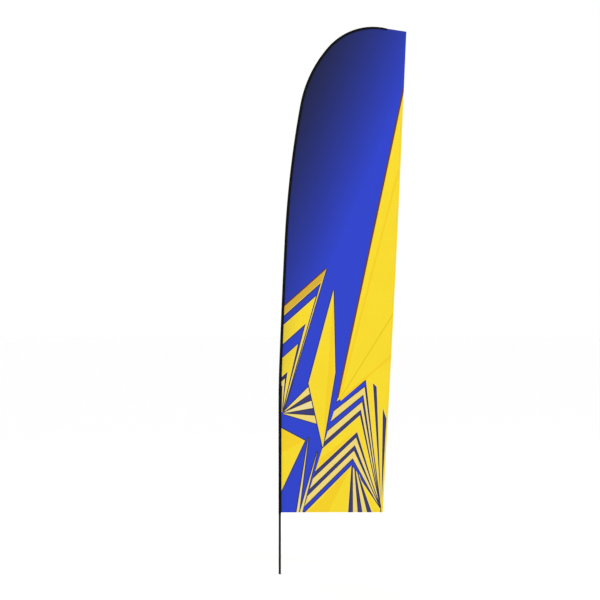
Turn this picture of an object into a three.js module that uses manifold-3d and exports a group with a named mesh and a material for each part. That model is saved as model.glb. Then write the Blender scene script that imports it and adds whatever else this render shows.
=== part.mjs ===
// A feather flag on a sectional pole: a foot bush and ferrule, four pole sections joined by spigots,
// a cloth sleeve with the flag panel sewn to it, and the elastic tensioner that pulls the sleeve down.
// Millimetres, +Z up, origin at the centre of the pole's foot, +X towards the free (fly) edge.
// The front of the flag faces -Y, and the tensioner sits behind the pole, on the +Y side.
import * as THREE from "three";
import { mergeVertices } from "three/addons/utils/BufferGeometryUtils.js";
import Module from "manifold-3d";

const wasm = await Module();
wasm.setup();

// ---- Driving dimensions ----
const CLEARANCE = 0.3; // gap kept between neighbouring pieces

// The pole's centreline: straight, then five arcs that run on from each other, bending over to +X.
const BENDS = [
  { length: 960, degrees: 0 },
  { length: 200, degrees: 2.1 },
  { length: 700, degrees: 0.7 },
  { length: 760, degrees: 7.5 },
  { length: 360, degrees: 31 },
  { length: 355, degrees: 62 },
];
const POLE_LENGTH = BENDS.reduce((sum, bend) => sum + bend.length, 0);
const BOW_PER_STEP = 0.12; // how far a straight facet may cut inside the bend

const ROUND_SIDES = 16;
const BUSH_SIDES = 24;
const WIRE_SIDES = 8;
const RING_SIDES = 16;
const CURVE_SEGMENTS = 8;
const MERGE_DISTANCE = 1e-4;

// Pole sections, each with its outer radius and bore; places are distances along the centreline.
const BASE_OUTER = 6.5;
const BASE_BORE = 5.1;
const SECOND_OUTER = 6.1;
const SECOND_BORE = 5.1;
const THIRD_OUTER = 5.3;
const THIRD_BORE = 4.0;
const TIP_BUTT = 3.6;
const TIP_POINT = 2.0;
const LOWER_JOINT = 860;
const MIDDLE_JOINT = 1690;
const UPPER_JOINT = 2520;
const SPIGOT_REACH = 75;
const LOWER_SPIGOT_REACH = 95; // upwards, longer than the others because this joint is pulled apart
const COLLAR_WIDTH = 3;
const SOCKET_DEPTH = 66;
const SOCKET_WALL = 1;
const TIP_SECTION_END = POLE_LENGTH - 14;

// Foot bush: a flanged bearing sleeve inside the ferrule, which is the metal foot of the pole. The
// ferrule is bored for the bush, stopped above it, and plugged into the base section with a spigot.
const FLANGE_THICKNESS = 2;
const BUSH_LENGTH = 120;
const BUSH_BORE = 4.0;
const BUSH_BARREL = BASE_BORE - CLEARANCE;
const FERRULE_STOP = 125;
const FERRULE_TOP = 128;
const FERRULE_SPIGOT_REACH = 40;

// Cloth sleeve: a snug tube from the flag's bottom edge to the closed tip.
const FLAG_BOTTOM = 343;
const SLEEVE_WALL = 0.45;
const SLEEVE_LOW = 7.3;
const SLEEVE_HIGH = 6.3;
const SLEEVE_TIP = 5.0;
const SLEEVE_TAPER_START = 900;
const TIP_TAPER_START = POLE_LENGTH - 130;
const END_THICKNESS = 1.2;
const POCKET_LENGTH = 76;
const POCKET_WALL = 0.5;
const CAP_LENGTH = 32;
const CAP_WALL = 1.0;
const BINDING_HEIGHT = 6;

// Flag panel: straight bottom edge and an almost straight fly edge, bowed out a little.
const PANEL_THICKNESS = 0.8;
const FLY_BOTTOM_X = 575.5;
const FLY_TOP_X = 706.5;
const FLY_TOP_Z = 3025;
const FLY_BOW = 4;
const BELLY = 9;
const BELLY_START = 0.15; // the belly's share of a half wave at the bottom edge
const BELLY_SPAN = 0.8; // and how much of a half wave it then covers
const FLY_SWAY = 11;
const SWAY_START = 0.1;
const SWAY_WAVES = 1.2;
const PANEL_COLUMNS = 10;
const LONGEST_ROW = 90;
const TIP_ROWS = 3; // rows that wrap round the sleeve's closed end
const TIP_TURN = 0.008; // share of the panel's height that those rows take
const TIP_COVER = 0.8; // how far round the closed end the cloth goes, as a share of its radius

// Corner patch behind the panel, and the tensioner on the back of the pole.
const PATCH_WIDTH = 0.13; // shares of the panel's width and height
const PATCH_TOP_WIDTH = 0.02;
const PATCH_HEIGHT = 0.032;
const PATCH_THICKNESS = 0.5;
const PATCH_STEPS = 4;
const STRAP_Y = 9.6;
const STRAP_WIDTH = 8.4;
const WEB_THICKNESS = 0.9;
const EYE_INNER = 1.6;
const RING_WIRE = 0.9;
const RING_CORNER = 1.9;
const RING_SPREAD = 4.3;
const RING_RISE = 2.4;
const RING_Z = 328;
const RING_BAR = RING_RISE + RING_CORNER;
const TAB_TOP = 384;
const PEG_Z = 188;
const PLATE_BAR_Z = PEG_Z + 16;
const PLATE_BAR = 2.0;
const PLATE_SLOT = 2.2;
const PLATE_HALF_WIDTH = 6.6;
const PLATE_CORNER = 2;
const PLATE_THICKNESS = 1.6;
const PEG_SHANK = 1.9;
const PEG_HEAD = 3.7;
const PEG_HEAD_THICKNESS = 1.6;
const PEG_TAIL = 2.7;
const PEG_TAIL_BACK = 2.8;
const PEG_TAIL_FRONT = 3.8;
const PEG_DOME = 0.7; // the flat of the domed head, as a share of its radius
const WASHER_OUTER = 4.2;

// ---- Materials ----
function material(color, roughness, metalness = 0) {
  return new THREE.MeshStandardMaterial({ color, roughness, metalness });
}
const blackGlassFibre = material(0x0c0c0e, 0.35);
const blackCloth = material(0x101012, 0.85);
const printedCloth = material(0x3444c8, 0.7);
const nylon = material(0x16161a, 0.5);
const blackAluminium = material(0x141416, 0.4, 0.6);
const turnedAluminium = material(0xb8babd, 0.35, 1);
const steel = material(0xa8aaae, 0.3, 1);
const blackRubber = material(0x121214, 0.9);
const blackElastic = material(0x0f0f11, 0.8);
const blackWebbing = material(0x131315, 0.75);

const part = new THREE.Group();

function add(name, geometry, finish) {
  const mesh = new THREE.Mesh(geometry, finish);
  mesh.name = name;
  part.add(mesh);
  return mesh;
}

// ---- The bent centreline ----
// Gives the point, the direction along the pole and the direction into the bend at a distance s.
function poleAt(s) {
  let x = 0;
  let z = 0;
  let angle = 0;
  let left = s;
  for (const { length, degrees } of BENDS) {
    const last = left <= length;
    const run = last ? left : length;
    const turn = (THREE.MathUtils.degToRad(degrees) * run) / length;
    const chord = turn === 0 ? run : (2 * run * Math.sin(turn / 2)) / turn;
    x += chord * Math.sin(angle + turn / 2);
    z += chord * Math.cos(angle + turn / 2);
    angle += turn;
    left -= run;
    if (last) break;
  }
  x += left * Math.sin(angle);
  z += left * Math.cos(angle);
  const along = new THREE.Vector3(Math.sin(angle), 0, Math.cos(angle));
  const inward = new THREE.Vector3(Math.cos(angle), 0, -Math.sin(angle));
  return { point: new THREE.Vector3(x, 0, z), along, inward };
}

// The distances between start and end where a bent piece needs a ring of points.
function stations(start, end) {
  const places = [start];
  let arcStart = 0;
  for (const { length, degrees } of BENDS) {
    const bow = (length * THREE.MathUtils.degToRad(degrees)) / 8;
    const count = Math.max(1, Math.ceil(Math.sqrt(bow / BOW_PER_STEP)));
    for (let i = 0; i <= count; i += 1) {
      const s = arcStart + (length * i) / count;
      if (s > places.at(-1) + 1 && s < end - 1) places.push(s);
    }
    arcStart += length;
  }
  places.push(end);
  return places;
}

// Turns a closed outline of [radius, distance] points about the centreline and bends it to follow.
function turned(outline, sides = ROUND_SIDES) {
  const points = outline.map(([radius, s]) => new THREE.Vector2(radius, s));
  const geometry = new THREE.LatheGeometry(points, sides);
  const position = geometry.attributes.position;
  for (let i = 0; i < position.count; i += 1) {
    const { point, inward } = poleAt(position.getY(i));
    point.addScaledVector(inward, position.getX(i));
    point.y -= position.getZ(i);
    position.setXYZ(i, point.x, point.y, point.z);
  }
  return geometry;
}

// One side of a long profile: [radius(s), s] at every station from start to end.
function wall(radius, start, end) {
  return stations(start, end).map((s) => [radius(s), s]);
}

function tube(outer, inner, start, end) {
  const outside = wall(outer, start, end);
  const inside = wall(inner, start, end).reverse();
  return turned([...outside, ...inside, outside[0]]);
}

const always = (radius) => () => radius;

// ---- Foot bush, ferrule and pole sections ----
function footBush() {
  return turned(
    [
      [BUSH_BORE, 0],
      [BASE_OUTER, 0],
      [BASE_OUTER, FLANGE_THICKNESS],
      [BUSH_BARREL, FLANGE_THICKNESS],
      [BUSH_BARREL, BUSH_LENGTH],
      [BUSH_BORE, BUSH_LENGTH],
      [BUSH_BORE, 0],
    ],
    BUSH_SIDES,
  );
}

function footFerrule() {
  const foot = FLANGE_THICKNESS + CLEARANCE;
  return turned(
    [
      [0, FERRULE_STOP],
      [BASE_BORE, FERRULE_STOP],
      [BASE_BORE, foot],
      [BASE_OUTER, foot],
      [BASE_OUTER, FERRULE_TOP],
      [BUSH_BARREL, FERRULE_TOP],
      [BUSH_BARREL, FERRULE_TOP + FERRULE_SPIGOT_REACH],
      [0, FERRULE_TOP + FERRULE_SPIGOT_REACH],
    ],
    BUSH_SIDES,
  );
}

// The spigot's collar fills the space between two sections, and its ends reach into their bores.
function spigot(joint, lowerBore, upperBore, collar, upperReach) {
  const lower = lowerBore - CLEARANCE;
  const upper = upperBore - CLEARANCE;
  const collarTop = joint + COLLAR_WIDTH;
  return turned([
    [0, joint - SPIGOT_REACH],
    ...wall(always(lower), joint - SPIGOT_REACH, joint),
    [collar, joint],
    [collar, collarTop],
    ...wall(always(upper), collarTop, collarTop + upperReach),
    [0, collarTop + upperReach],
  ]);
}

// The upper joint's spigot is solid below its collar and a socket for the tip rod above it.
function socketSpigot() {
  const lower = THIRD_BORE - CLEARANCE;
  const inner = TIP_BUTT + CLEARANCE;
  const outer = inner + SOCKET_WALL;
  const collarTop = UPPER_JOINT + COLLAR_WIDTH;
  const mouth = collarTop + SOCKET_DEPTH;
  return turned([
    [0, UPPER_JOINT - SPIGOT_REACH],
    ...wall(always(lower), UPPER_JOINT - SPIGOT_REACH, UPPER_JOINT),
    [THIRD_OUTER, UPPER_JOINT],
    [THIRD_OUTER, collarTop],
    ...wall(always(outer), collarTop, mouth),
    ...wall(always(inner), collarTop, mouth).reverse(),
    [0, collarTop],
  ]);
}

function tipRadius(s) {
  const start = UPPER_JOINT + COLLAR_WIDTH + SOCKET_DEPTH;
  const share = THREE.MathUtils.clamp((s - start) / (TIP_SECTION_END - start), 0, 1);
  return THREE.MathUtils.lerp(TIP_BUTT, TIP_POINT, share);
}

function tipSection() {
  const start = UPPER_JOINT + COLLAR_WIDTH + CLEARANCE;
  return turned([[0, start], ...wall(tipRadius, start, TIP_SECTION_END), [0, TIP_SECTION_END]]);
}

// A round hole through the back wall of the base section, for the peg.
function cutPegHole(geometry) {
  const radius = PEG_SHANK + CLEARANCE;
  const drill = new THREE.CylinderGeometry(radius, radius, BASE_OUTER, ROUND_SIDES);
  drill.translate(0, BASE_OUTER, PEG_Z);
  return fromSolid(toSolid(geometry).subtract(toSolid(drill)));
}

function toSolid(geometry) {
  const bare = geometry.clone();
  bare.deleteAttribute("normal");
  bare.deleteAttribute("uv");
  const merged = mergeVertices(bare, MERGE_DISTANCE);
  const vertProperties = new Float32Array(merged.attributes.position.array);
  const triVerts = new Uint32Array(withoutSlivers(Array.from(merged.index.array)));
  return new wasm.Manifold(new wasm.Mesh({ numProp: 3, vertProperties, triVerts }));
}

function withoutSlivers(index) {
  const kept = [];
  for (let i = 0; i < index.length; i += 3) {
    const [a, b, c] = index.slice(i, i + 3);
    if (a !== b && b !== c && c !== a) kept.push(a, b, c);
  }
  return kept;
}

function fromSolid(solid) {
  const { vertProperties, triVerts } = solid.getMesh();
  const geometry = new THREE.BufferGeometry();
  geometry.setAttribute("position", new THREE.BufferAttribute(vertProperties, 3));
  geometry.setIndex(new THREE.BufferAttribute(triVerts, 1));
  return geometry;
}

add("foot_bush", footBush(), nylon);
add("foot_ferrule", footFerrule(), blackAluminium);
add(
  "base_section",
  cutPegHole(tube(always(BASE_OUTER), always(BASE_BORE), FERRULE_TOP + CLEARANCE, LOWER_JOINT - CLEARANCE)),
  blackGlassFibre,
);
add(
  "lower_spigot",
  spigot(LOWER_JOINT, BASE_BORE, SECOND_BORE, BASE_OUTER, LOWER_SPIGOT_REACH),
  turnedAluminium,
);
add(
  "second_section",
  tube(
    always(SECOND_OUTER),
    always(SECOND_BORE),
    LOWER_JOINT + COLLAR_WIDTH + CLEARANCE,
    MIDDLE_JOINT - CLEARANCE,
  ),
  blackGlassFibre,
);
add(
  "middle_spigot",
  spigot(MIDDLE_JOINT, SECOND_BORE, THIRD_BORE, SECOND_OUTER, SPIGOT_REACH),
  turnedAluminium,
);
add(
  "third_section",
  tube(
    always(THIRD_OUTER),
    always(THIRD_BORE),
    MIDDLE_JOINT + COLLAR_WIDTH + CLEARANCE,
    UPPER_JOINT - CLEARANCE,
  ),
  blackGlassFibre,
);
add("tip_socket", socketSpigot(), turnedAluminium);
add("tip_section", tipSection(), blackGlassFibre);

// ---- Sleeve and what is inside its closed end ----
function sleeveRadius(s) {
  const { smoothstep, mapLinear, clamp } = THREE.MathUtils;
  const slope = mapLinear(s, SLEEVE_TAPER_START, TIP_TAPER_START, SLEEVE_LOW, SLEEVE_HIGH);
  const narrowing = (SLEEVE_HIGH - SLEEVE_TIP) * smoothstep(s, TIP_TAPER_START, POLE_LENGTH);
  return clamp(slope, SLEEVE_HIGH, SLEEVE_LOW) - narrowing;
}

// A bag over the end of the pole: open at start, closed at end, with the given outer radius.
function closedBag(outer, thickness, endThickness, start, end) {
  const inner = (s) => outer(s) - thickness;
  const innerEnd = end - endThickness;
  return turned([
    [0, innerEnd],
    ...wall(inner, start, innerEnd).reverse(),
    ...wall(outer, start, end),
    [0, end],
  ]);
}

const sleeveInside = (s) => sleeveRadius(s) - SLEEVE_WALL;
const pocketOutside = (s) => sleeveInside(s) - CLEARANCE;
const pocketEnd = POLE_LENGTH - END_THICKNESS - CLEARANCE;
const capEnd = pocketEnd - END_THICKNESS - CLEARANCE;
const capOutside = (s) => tipRadius(s) + CLEARANCE + CAP_WALL;

add("pole_sleeve", closedBag(sleeveRadius, SLEEVE_WALL, END_THICKNESS, FLAG_BOTTOM, POLE_LENGTH), blackCloth);
add(
  "tip_pocket",
  closedBag(pocketOutside, POCKET_WALL, END_THICKNESS, pocketEnd - POCKET_LENGTH, pocketEnd),
  blackWebbing,
);
add(
  "tip_cap",
  closedBag(capOutside, CAP_WALL, capEnd - TIP_SECTION_END - CLEARANCE, capEnd - CAP_LENGTH, capEnd),
  blackRubber,
);
add(
  "mouth_binding",
  tube(
    always(SLEEVE_LOW),
    always(SLEEVE_LOW - SLEEVE_WALL),
    FLAG_BOTTOM - CLEARANCE - BINDING_HEIGHT,
    FLAG_BOTTOM - CLEARANCE,
  ),
  blackWebbing,
);

// ---- Flag panel ----
// The cloth's luff end of a row: along the sleeve's inner side, then round the sleeve's closed end.
function luffPoint(row) {
  const share = Math.min(1, row / (1 - TIP_TURN));
  const turn = Math.max(0, (row - 1) / TIP_TURN + 1);
  const s = THREE.MathUtils.lerp(FLAG_BOTTOM, POLE_LENGTH + CLEARANCE, share);
  const { point, inward } = poleAt(s);
  const reach = sleeveRadius(s) + CLEARANCE;
  return point.addScaledVector(inward, reach * (1 - (1 + TIP_COVER) * turn));
}

function flyPoint(row) {
  const x = THREE.MathUtils.lerp(FLY_BOTTOM_X, FLY_TOP_X, row) + FLY_BOW * Math.sin(Math.PI * row);
  return new THREE.Vector3(x, 0, THREE.MathUtils.lerp(FLAG_BOTTOM, FLY_TOP_Z, row));
}

// A shallow belly across the width, and a slow sway that grows towards the fly edge.
function billow(column, row) {
  const belly = BELLY * Math.sin(Math.PI * column) * Math.sin(Math.PI * (BELLY_START + BELLY_SPAN * row));
  const sway = FLY_SWAY * column * column * Math.sin(2 * Math.PI * (SWAY_START + SWAY_WAVES * row));
  return belly + sway;
}

// Both column and row run from 0 to 1: luff to fly edge, and bottom to top.
function panelPoint(column, row, depth) {
  const point = luffPoint(row).lerp(flyPoint(row), column);
  point.y = billow(column, row) + depth;
  return point;
}

// The panel's rows, as shares of its height: one at each ring of the sleeve, and some between.
function panelRows() {
  const places = stations(FLAG_BOTTOM, POLE_LENGTH + CLEARANCE);
  const length = POLE_LENGTH + CLEARANCE - FLAG_BOTTOM;
  const rows = [0];
  for (let i = 1; i < places.length; i += 1) {
    const count = Math.ceil((places[i] - places[i - 1]) / LONGEST_ROW);
    for (let j = 1; j <= count; j += 1) {
      const s = THREE.MathUtils.lerp(places[i - 1], places[i], j / count);
      rows.push(((s - FLAG_BOTTOM) / length) * (1 - TIP_TURN));
    }
  }
  for (let i = 1; i <= TIP_ROWS; i += 1) rows.push(1 - TIP_TURN * (1 - i / TIP_ROWS));
  return rows;
}

// A slab that follows the panel. span(share) gives the last column on each of its rows.
function clothSlab(columns, rows, span, front, thickness) {
  const last = rows.length - 1;
  const geometry = new THREE.BoxGeometry(1, 1, 1, columns, last, 1);
  const position = geometry.attributes.position;
  for (let i = 0; i < position.count; i += 1) {
    const step = Math.round((position.getY(i) + 0.5) * last);
    const column = (position.getX(i) + 0.5) * span(step / last);
    const depth = front + thickness * (0.5 - position.getZ(i));
    const point = panelPoint(column, rows[step], depth);
    position.setXYZ(i, point.x, point.y, point.z);
  }
  return geometry;
}

const patchRows = Array.from({ length: PATCH_STEPS + 1 }, (_, i) => (PATCH_HEIGHT * i) / PATCH_STEPS);
const patchSpan = (up) => THREE.MathUtils.lerp(PATCH_WIDTH, PATCH_TOP_WIDTH, up);

add(
  "flag_panel",
  clothSlab(PANEL_COLUMNS, panelRows(), always(1), -PANEL_THICKNESS / 2, PANEL_THICKNESS),
  printedCloth,
);
add(
  "corner_patch",
  clothSlab(PATCH_STEPS, patchRows, patchSpan, PANEL_THICKNESS / 2 + CLEARANCE, PATCH_THICKNESS),
  blackWebbing,
);

// ---- Tensioner ----
// A strap folded round a bar at its bottom, and at its top too unless plainTop is set.
// It is drawn in the Y-Z plane and given its width along X.
function foldedStrap(bottom, top, plainTop = false) {
  const outer = EYE_INNER + WEB_THICKNESS;
  const lean = Math.asin(WEB_THICKNESS / outer);
  const waist = outer * Math.cos(lean);
  const shape = new THREE.Shape();
  const eye = (z) => new THREE.Path().absarc(0, z, EYE_INNER, 0, Math.PI * 2, true);
  shape.moveTo(WEB_THICKNESS, bottom + waist);
  if (plainTop) {
    shape.lineTo(WEB_THICKNESS, top);
    shape.lineTo(-WEB_THICKNESS, top);
  } else {
    shape.lineTo(WEB_THICKNESS, top - waist);
    shape.absarc(0, top, outer, lean - Math.PI / 2, Math.PI * 1.5 - lean, false);
    shape.holes.push(eye(top));
  }
  shape.lineTo(-WEB_THICKNESS, bottom + waist);
  shape.absarc(0, bottom, outer, Math.PI / 2 + lean, Math.PI * 2.5 - lean, false);
  shape.holes.push(eye(bottom));
  const geometry = extruded(shape, STRAP_WIDTH);
  geometry.translate(0, 0, -STRAP_WIDTH / 2);
  const [x, y, z] = [new THREE.Vector3(1, 0, 0), new THREE.Vector3(0, 1, 0), new THREE.Vector3(0, 0, 1)];
  geometry.applyMatrix4(new THREE.Matrix4().makeBasis(y, z, x));
  geometry.translate(0, STRAP_Y, 0);
  return geometry;
}

function extruded(shape, depth) {
  return new THREE.ExtrudeGeometry(shape, { depth, bevelEnabled: false, curveSegments: CURVE_SEGMENTS });
}

// A rectangular ring of round wire, standing in the X-Z plane.
function wireRing() {
  const geometry = new THREE.TorusGeometry(RING_CORNER, RING_WIRE, WIRE_SIDES, RING_SIDES);
  geometry.rotateZ(Math.PI / RING_SIDES);
  const position = geometry.attributes.position;
  for (let i = 0; i < position.count; i += 1) {
    const x = position.getX(i);
    const y = position.getY(i);
    position.setXY(i, x + Math.sign(x) * RING_SPREAD, y + Math.sign(y) * RING_RISE);
  }
  geometry.rotateX(Math.PI / 2);
  geometry.translate(0, STRAP_Y, RING_Z);
  return geometry;
}

// A flat link with a slot for the elastic above and a round eye for the peg below.
function anchorPlate() {
  const side = PLATE_HALF_WIDTH;
  const top = PLATE_BAR_Z + PLATE_BAR / 2;
  const shoulder = top - PLATE_CORNER;
  const shape = new THREE.Shape();
  shape.moveTo(-side + PLATE_CORNER, top);
  shape.absarc(-side + PLATE_CORNER, shoulder, PLATE_CORNER, Math.PI / 2, Math.PI, false);
  shape.absarc(0, PEG_Z, side, Math.PI, Math.PI * 2, false);
  shape.absarc(side - PLATE_CORNER, shoulder, PLATE_CORNER, 0, Math.PI / 2, false);
  const slotSide = STRAP_WIDTH / 2 + CLEARANCE;
  const slotTop = PLATE_BAR_Z - PLATE_BAR / 2;
  const slot = new THREE.Path();
  slot.moveTo(-slotSide, slotTop);
  slot.lineTo(slotSide, slotTop);
  slot.lineTo(slotSide, slotTop - PLATE_SLOT);
  slot.lineTo(-slotSide, slotTop - PLATE_SLOT);
  slot.closePath();
  const eye = new THREE.Path().absarc(0, PEG_Z, PEG_SHANK + CLEARANCE, 0, Math.PI * 2, true);
  shape.holes.push(slot, eye);
  const geometry = extruded(shape, PLATE_THICKNESS);
  geometry.rotateX(Math.PI / 2);
  geometry.translate(0, STRAP_Y + PLATE_THICKNESS / 2, 0);
  return geometry;
}

const plateBack = STRAP_Y + PLATE_THICKNESS / 2;
const plateFront = STRAP_Y - PLATE_THICKNESS / 2;

// The peg is a rivet through the tube's back wall: a tail inside, a shank, and a domed head.
function polePeg() {
  const head = plateBack + CLEARANCE;
  const outline = [
    [0, PEG_TAIL_BACK],
    [PEG_TAIL, PEG_TAIL_BACK],
    [PEG_TAIL, PEG_TAIL_FRONT],
    [PEG_SHANK, PEG_TAIL_FRONT],
    [PEG_SHANK, head],
    [PEG_HEAD, head],
    [PEG_HEAD, head + PEG_HEAD_THICKNESS / 2],
    [PEG_HEAD * PEG_DOME, head + PEG_HEAD_THICKNESS],
    [0, head + PEG_HEAD_THICKNESS],
  ];
  return aboutPeg(outline);
}

function pegWasher() {
  const back = plateFront - CLEARANCE;
  const front = BASE_OUTER + CLEARANCE;
  const bore = PEG_SHANK + CLEARANCE;
  return aboutPeg([[bore, front], [WASHER_OUTER, front], [WASHER_OUTER, back], [bore, back], [bore, front]]);
}

function aboutPeg(outline) {
  const points = outline.map(([radius, y]) => new THREE.Vector2(radius, y));
  return new THREE.LatheGeometry(points, ROUND_SIDES).translate(0, 0, PEG_Z);
}

add("pole_peg", polePeg(), steel);
add("peg_washer", pegWasher(), nylon);
add("anchor_plate", anchorPlate(), nylon);
add("tension_elastic", foldedStrap(PLATE_BAR_Z, RING_Z - RING_BAR), blackElastic);
add("tension_ring", wireRing(), steel);
add("tension_tab", foldedStrap(RING_Z + RING_BAR, TAB_TOP, true), blackWebbing);

export default part;
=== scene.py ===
"""A feather flag: a black sectional pole that bends over at the top, a printed cloth panel on a snug
black sleeve, and the elastic tensioner behind the pole. Lengths are in millimetres until a mesh is made."""

import math

import bmesh
import bpy
import numpy as np
from mathutils import Matrix, Vector
from mathutils.geometry import delaunay_2d_cdt


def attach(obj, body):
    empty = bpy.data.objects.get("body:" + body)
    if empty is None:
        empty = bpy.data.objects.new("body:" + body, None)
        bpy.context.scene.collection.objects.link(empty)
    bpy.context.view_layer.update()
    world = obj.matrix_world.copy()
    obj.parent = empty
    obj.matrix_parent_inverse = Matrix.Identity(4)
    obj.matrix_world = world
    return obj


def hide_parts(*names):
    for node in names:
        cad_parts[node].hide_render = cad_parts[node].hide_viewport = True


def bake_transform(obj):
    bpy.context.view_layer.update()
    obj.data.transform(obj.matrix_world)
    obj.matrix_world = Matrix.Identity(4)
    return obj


MM = 0.001
CM = 10.0

# ---- The pole's centreline, the same as in the CAD ----
BENDS = [(960, 0), (200, 2.1), (700, 0.7), (760, 7.5), (360, 31), (355, 62)]
POLE_LENGTH = sum(length for length, _ in BENDS)
CLEARANCE = 0.3

# ---- Pole pieces: radii, and places along the centreline ----
BASE_OUTER = 6.5
BASE_BORE = 5.1
SECOND_OUTER = 6.1
SECOND_BORE = 5.1
THIRD_OUTER = 5.3
THIRD_BORE = 4.0
TIP_BUTT = 3.6
TIP_POINT = 2.0
LOWER_JOINT = 860
MIDDLE_JOINT = 1690
UPPER_JOINT = 2520
SPIGOT_REACH = 75
LOWER_SPIGOT_REACH = 95
COLLAR_WIDTH = 3
SOCKET_DEPTH = 66
SOCKET_WALL = 1
TIP_SECTION_END = POLE_LENGTH - 14
FLANGE_THICKNESS = 2
BUSH_LENGTH = 120
BUSH_BORE = 4.0
BUSH_BARREL = BASE_BORE - CLEARANCE
FERRULE_STOP = 125
FERRULE_TOP = 128
FERRULE_SPIGOT_REACH = 40
FERRULE_GROOVES = (14, 18, 112, 116)
EDGE = 0.5  # the eased edges of the pole's foot
LEAD = 1.5  # length of the lead-in on the ferrule's and the bush's barrels
TAPER = 0.8  # a spigot's end is this much slimmer than its barrel
GROOVE_DEPTH = 0.22

# ---- Sleeve ----
FLAG_BOTTOM = 343
SLEEVE_WALL = 0.45
SLEEVE_LOW = 7.3
SLEEVE_HIGH = 6.3
SLEEVE_TIP = 5.0
SLEEVE_TAPER_START = 900
TIP_TAPER_START = POLE_LENGTH - 130
END_THICKNESS = 1.2
POCKET_LENGTH = 76
POCKET_WALL = 0.5
CAP_LENGTH = 32
CAP_WALL = 1.0
BINDING_HEIGHT = 6
PUCKER = 0.12  # how far the sleeve's cloth gathers in and out
PUCKER_PITCHES = (23, 151, 67)  # one short wave and two long ones
PUCKER_BEND = (2350, 2900)  # the gathers deepen between these places
PUCKER_FADE = 12  # and fade out this near to both ends
BINDING_BULGE = 0.25
BINDING_SEAM = FLAG_BOTTOM - 3.3

# ---- Panel ----
FLY_BOTTOM_X = 575.5
FLY_TOP_X = 706.5
FLY_TOP_Z = 3025
FLY_BOW = 4
BELLY = 9
BELLY_START = 0.15
BELLY_SPAN = 0.8
FLY_SWAY = 11
SWAY_START = 0.1
SWAY_WAVES = 1.2
TIP_TURN = 0.008
TIP_COVER = 0.8
CLOTH_THICKNESS = 0.5
CLOTH_GAP = 0.05
CLOTH_GRID = 12.0  # spacing of the cloth mesh's points
EDGE_STEP = 6.0
GRID_ROW = 0.87  # the grid's rows stand closer than its columns
GRID_CLEAR = 3.5  # no loose grid point lies nearer than this to an edge in the mesh
MERGE = 1e-3
LEAST_AREA = 1e-4
CLOTH_SHARP = 50
HEM_WIDTH = 12.0
SEAM_BACK = 13.0
SEAM_FRONT = 1.8
SEAM_END = 1.2  # both seam allowances narrow to this at the tip
SEAM_TAPER = (110, 12)  # the narrowing starts and ends this far short of the tip
SEAM_ROWS = [(-1, 0.9, 14), (1, 2.2, 40), (1, 9.9, 110)]  # face, distance from the sleeve, gap to the tip
SEAM_CLOTH = 0.35
SEAM_ROOT = 20  # degrees round the sleeve from the panel to where the allowance leaves it
CLOTH_TUCK = 0.3  # how far the panel's edge is sewn into the sleeve's wall
PATCH_WIDTH = 72.0
PATCH_TOP = 14.0
PATCH_HEIGHT = 86.0
PATCH_SEAM = [(3, 4), (-6, 4), (-3, -3), (3, -3)]  # corners of its stitching, from the patch's own corners
HEM_SEAM = HEM_WIDTH - 3
CREASES = {  # depth, pitch, and how strongly and slowly each kind wanders
    "drag": (0.55, 61, 2.2, 410),
    "fold": (0.8, 97, 1.3, 160),
    "gather": (0.5, 13.5, 1.1, 71),
    "flutter": (0.9, 74, 0.8, 240),
}
DRAG_SLANT = 0.55
FOLD_SLANT = 0.9
GATHER_FADE = 26

# ---- Tensioner ----
STRAP_Y = 9.6
STRAP_WIDTH = 8.4
WEB_THICKNESS = 0.9
EYE_INNER = 1.6
RING_WIRE = 0.9
RING_CORNER = 1.9
RING_SPREAD = 4.3
RING_RISE = 2.4
RING_Z = 328
RING_BAR = RING_RISE + RING_CORNER
STRAP_GAP = 0.03  # half the gap between a strap's two legs
LEG_START = 1.5  # the legs' first points lie this far past the eye
EYE_STEPS = 40
EASE_ROUNDS = 6
TAB_TOP = 384
TAB_SEAM_LOW = TAB_TOP - 24
TAB_SEAM_HIGH = TAB_TOP - 2.5
TAB_SEAM_HALF = 2.6
TAB_TACK_HALF = 3.2
TAB_TACK_Z = RING_Z + RING_BAR + 7
TAB_LEAN = (RING_Z + RING_BAR + 12, TAB_TOP - 28)  # it lies in to the sleeve between these heights
PEG_Z = 188
PLATE_BAR_Z = PEG_Z + 16
PLATE_BAR = 2.0
PLATE_SLOT = 2.2
PLATE_HALF_WIDTH = 6.6
PLATE_CORNER = 2
PLATE_THICKNESS = 1.6
PLATE_EASE = 0.3
SLOT_CORNER = 0.6
PEG_SHANK = 1.9
PEG_HEAD = 3.7
PEG_HEAD_THICKNESS = 1.6
PEG_TAIL = 2.7
PEG_TAIL_BACK = 2.8
PEG_TAIL_FRONT = 3.8
PEG_HEAD_RIM = 0.5
WASHER_OUTER = 4.2

# ---- Stage, in metres ----
CAMERA_LENS = 100
CAMERA_SENSOR = 36
CAMERA_REACH = 200
CAMERA_PLACE = (0.1127, -9.292, 1.5276)
FLOOR_Z = -0.0005
FLOOR_HALF = 60.0
WORLD_STRENGTH = 1.0
LAMPS = [  # name, place, target, size, power
    ("key", (5.0, -6.0, 5.0), (0.3, 0, 1.5), 2.0, 90),
    ("rim", (-3.0, 6.0, 4.0), (0.3, 0, 1.5), 3.0, 60),
]

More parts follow.
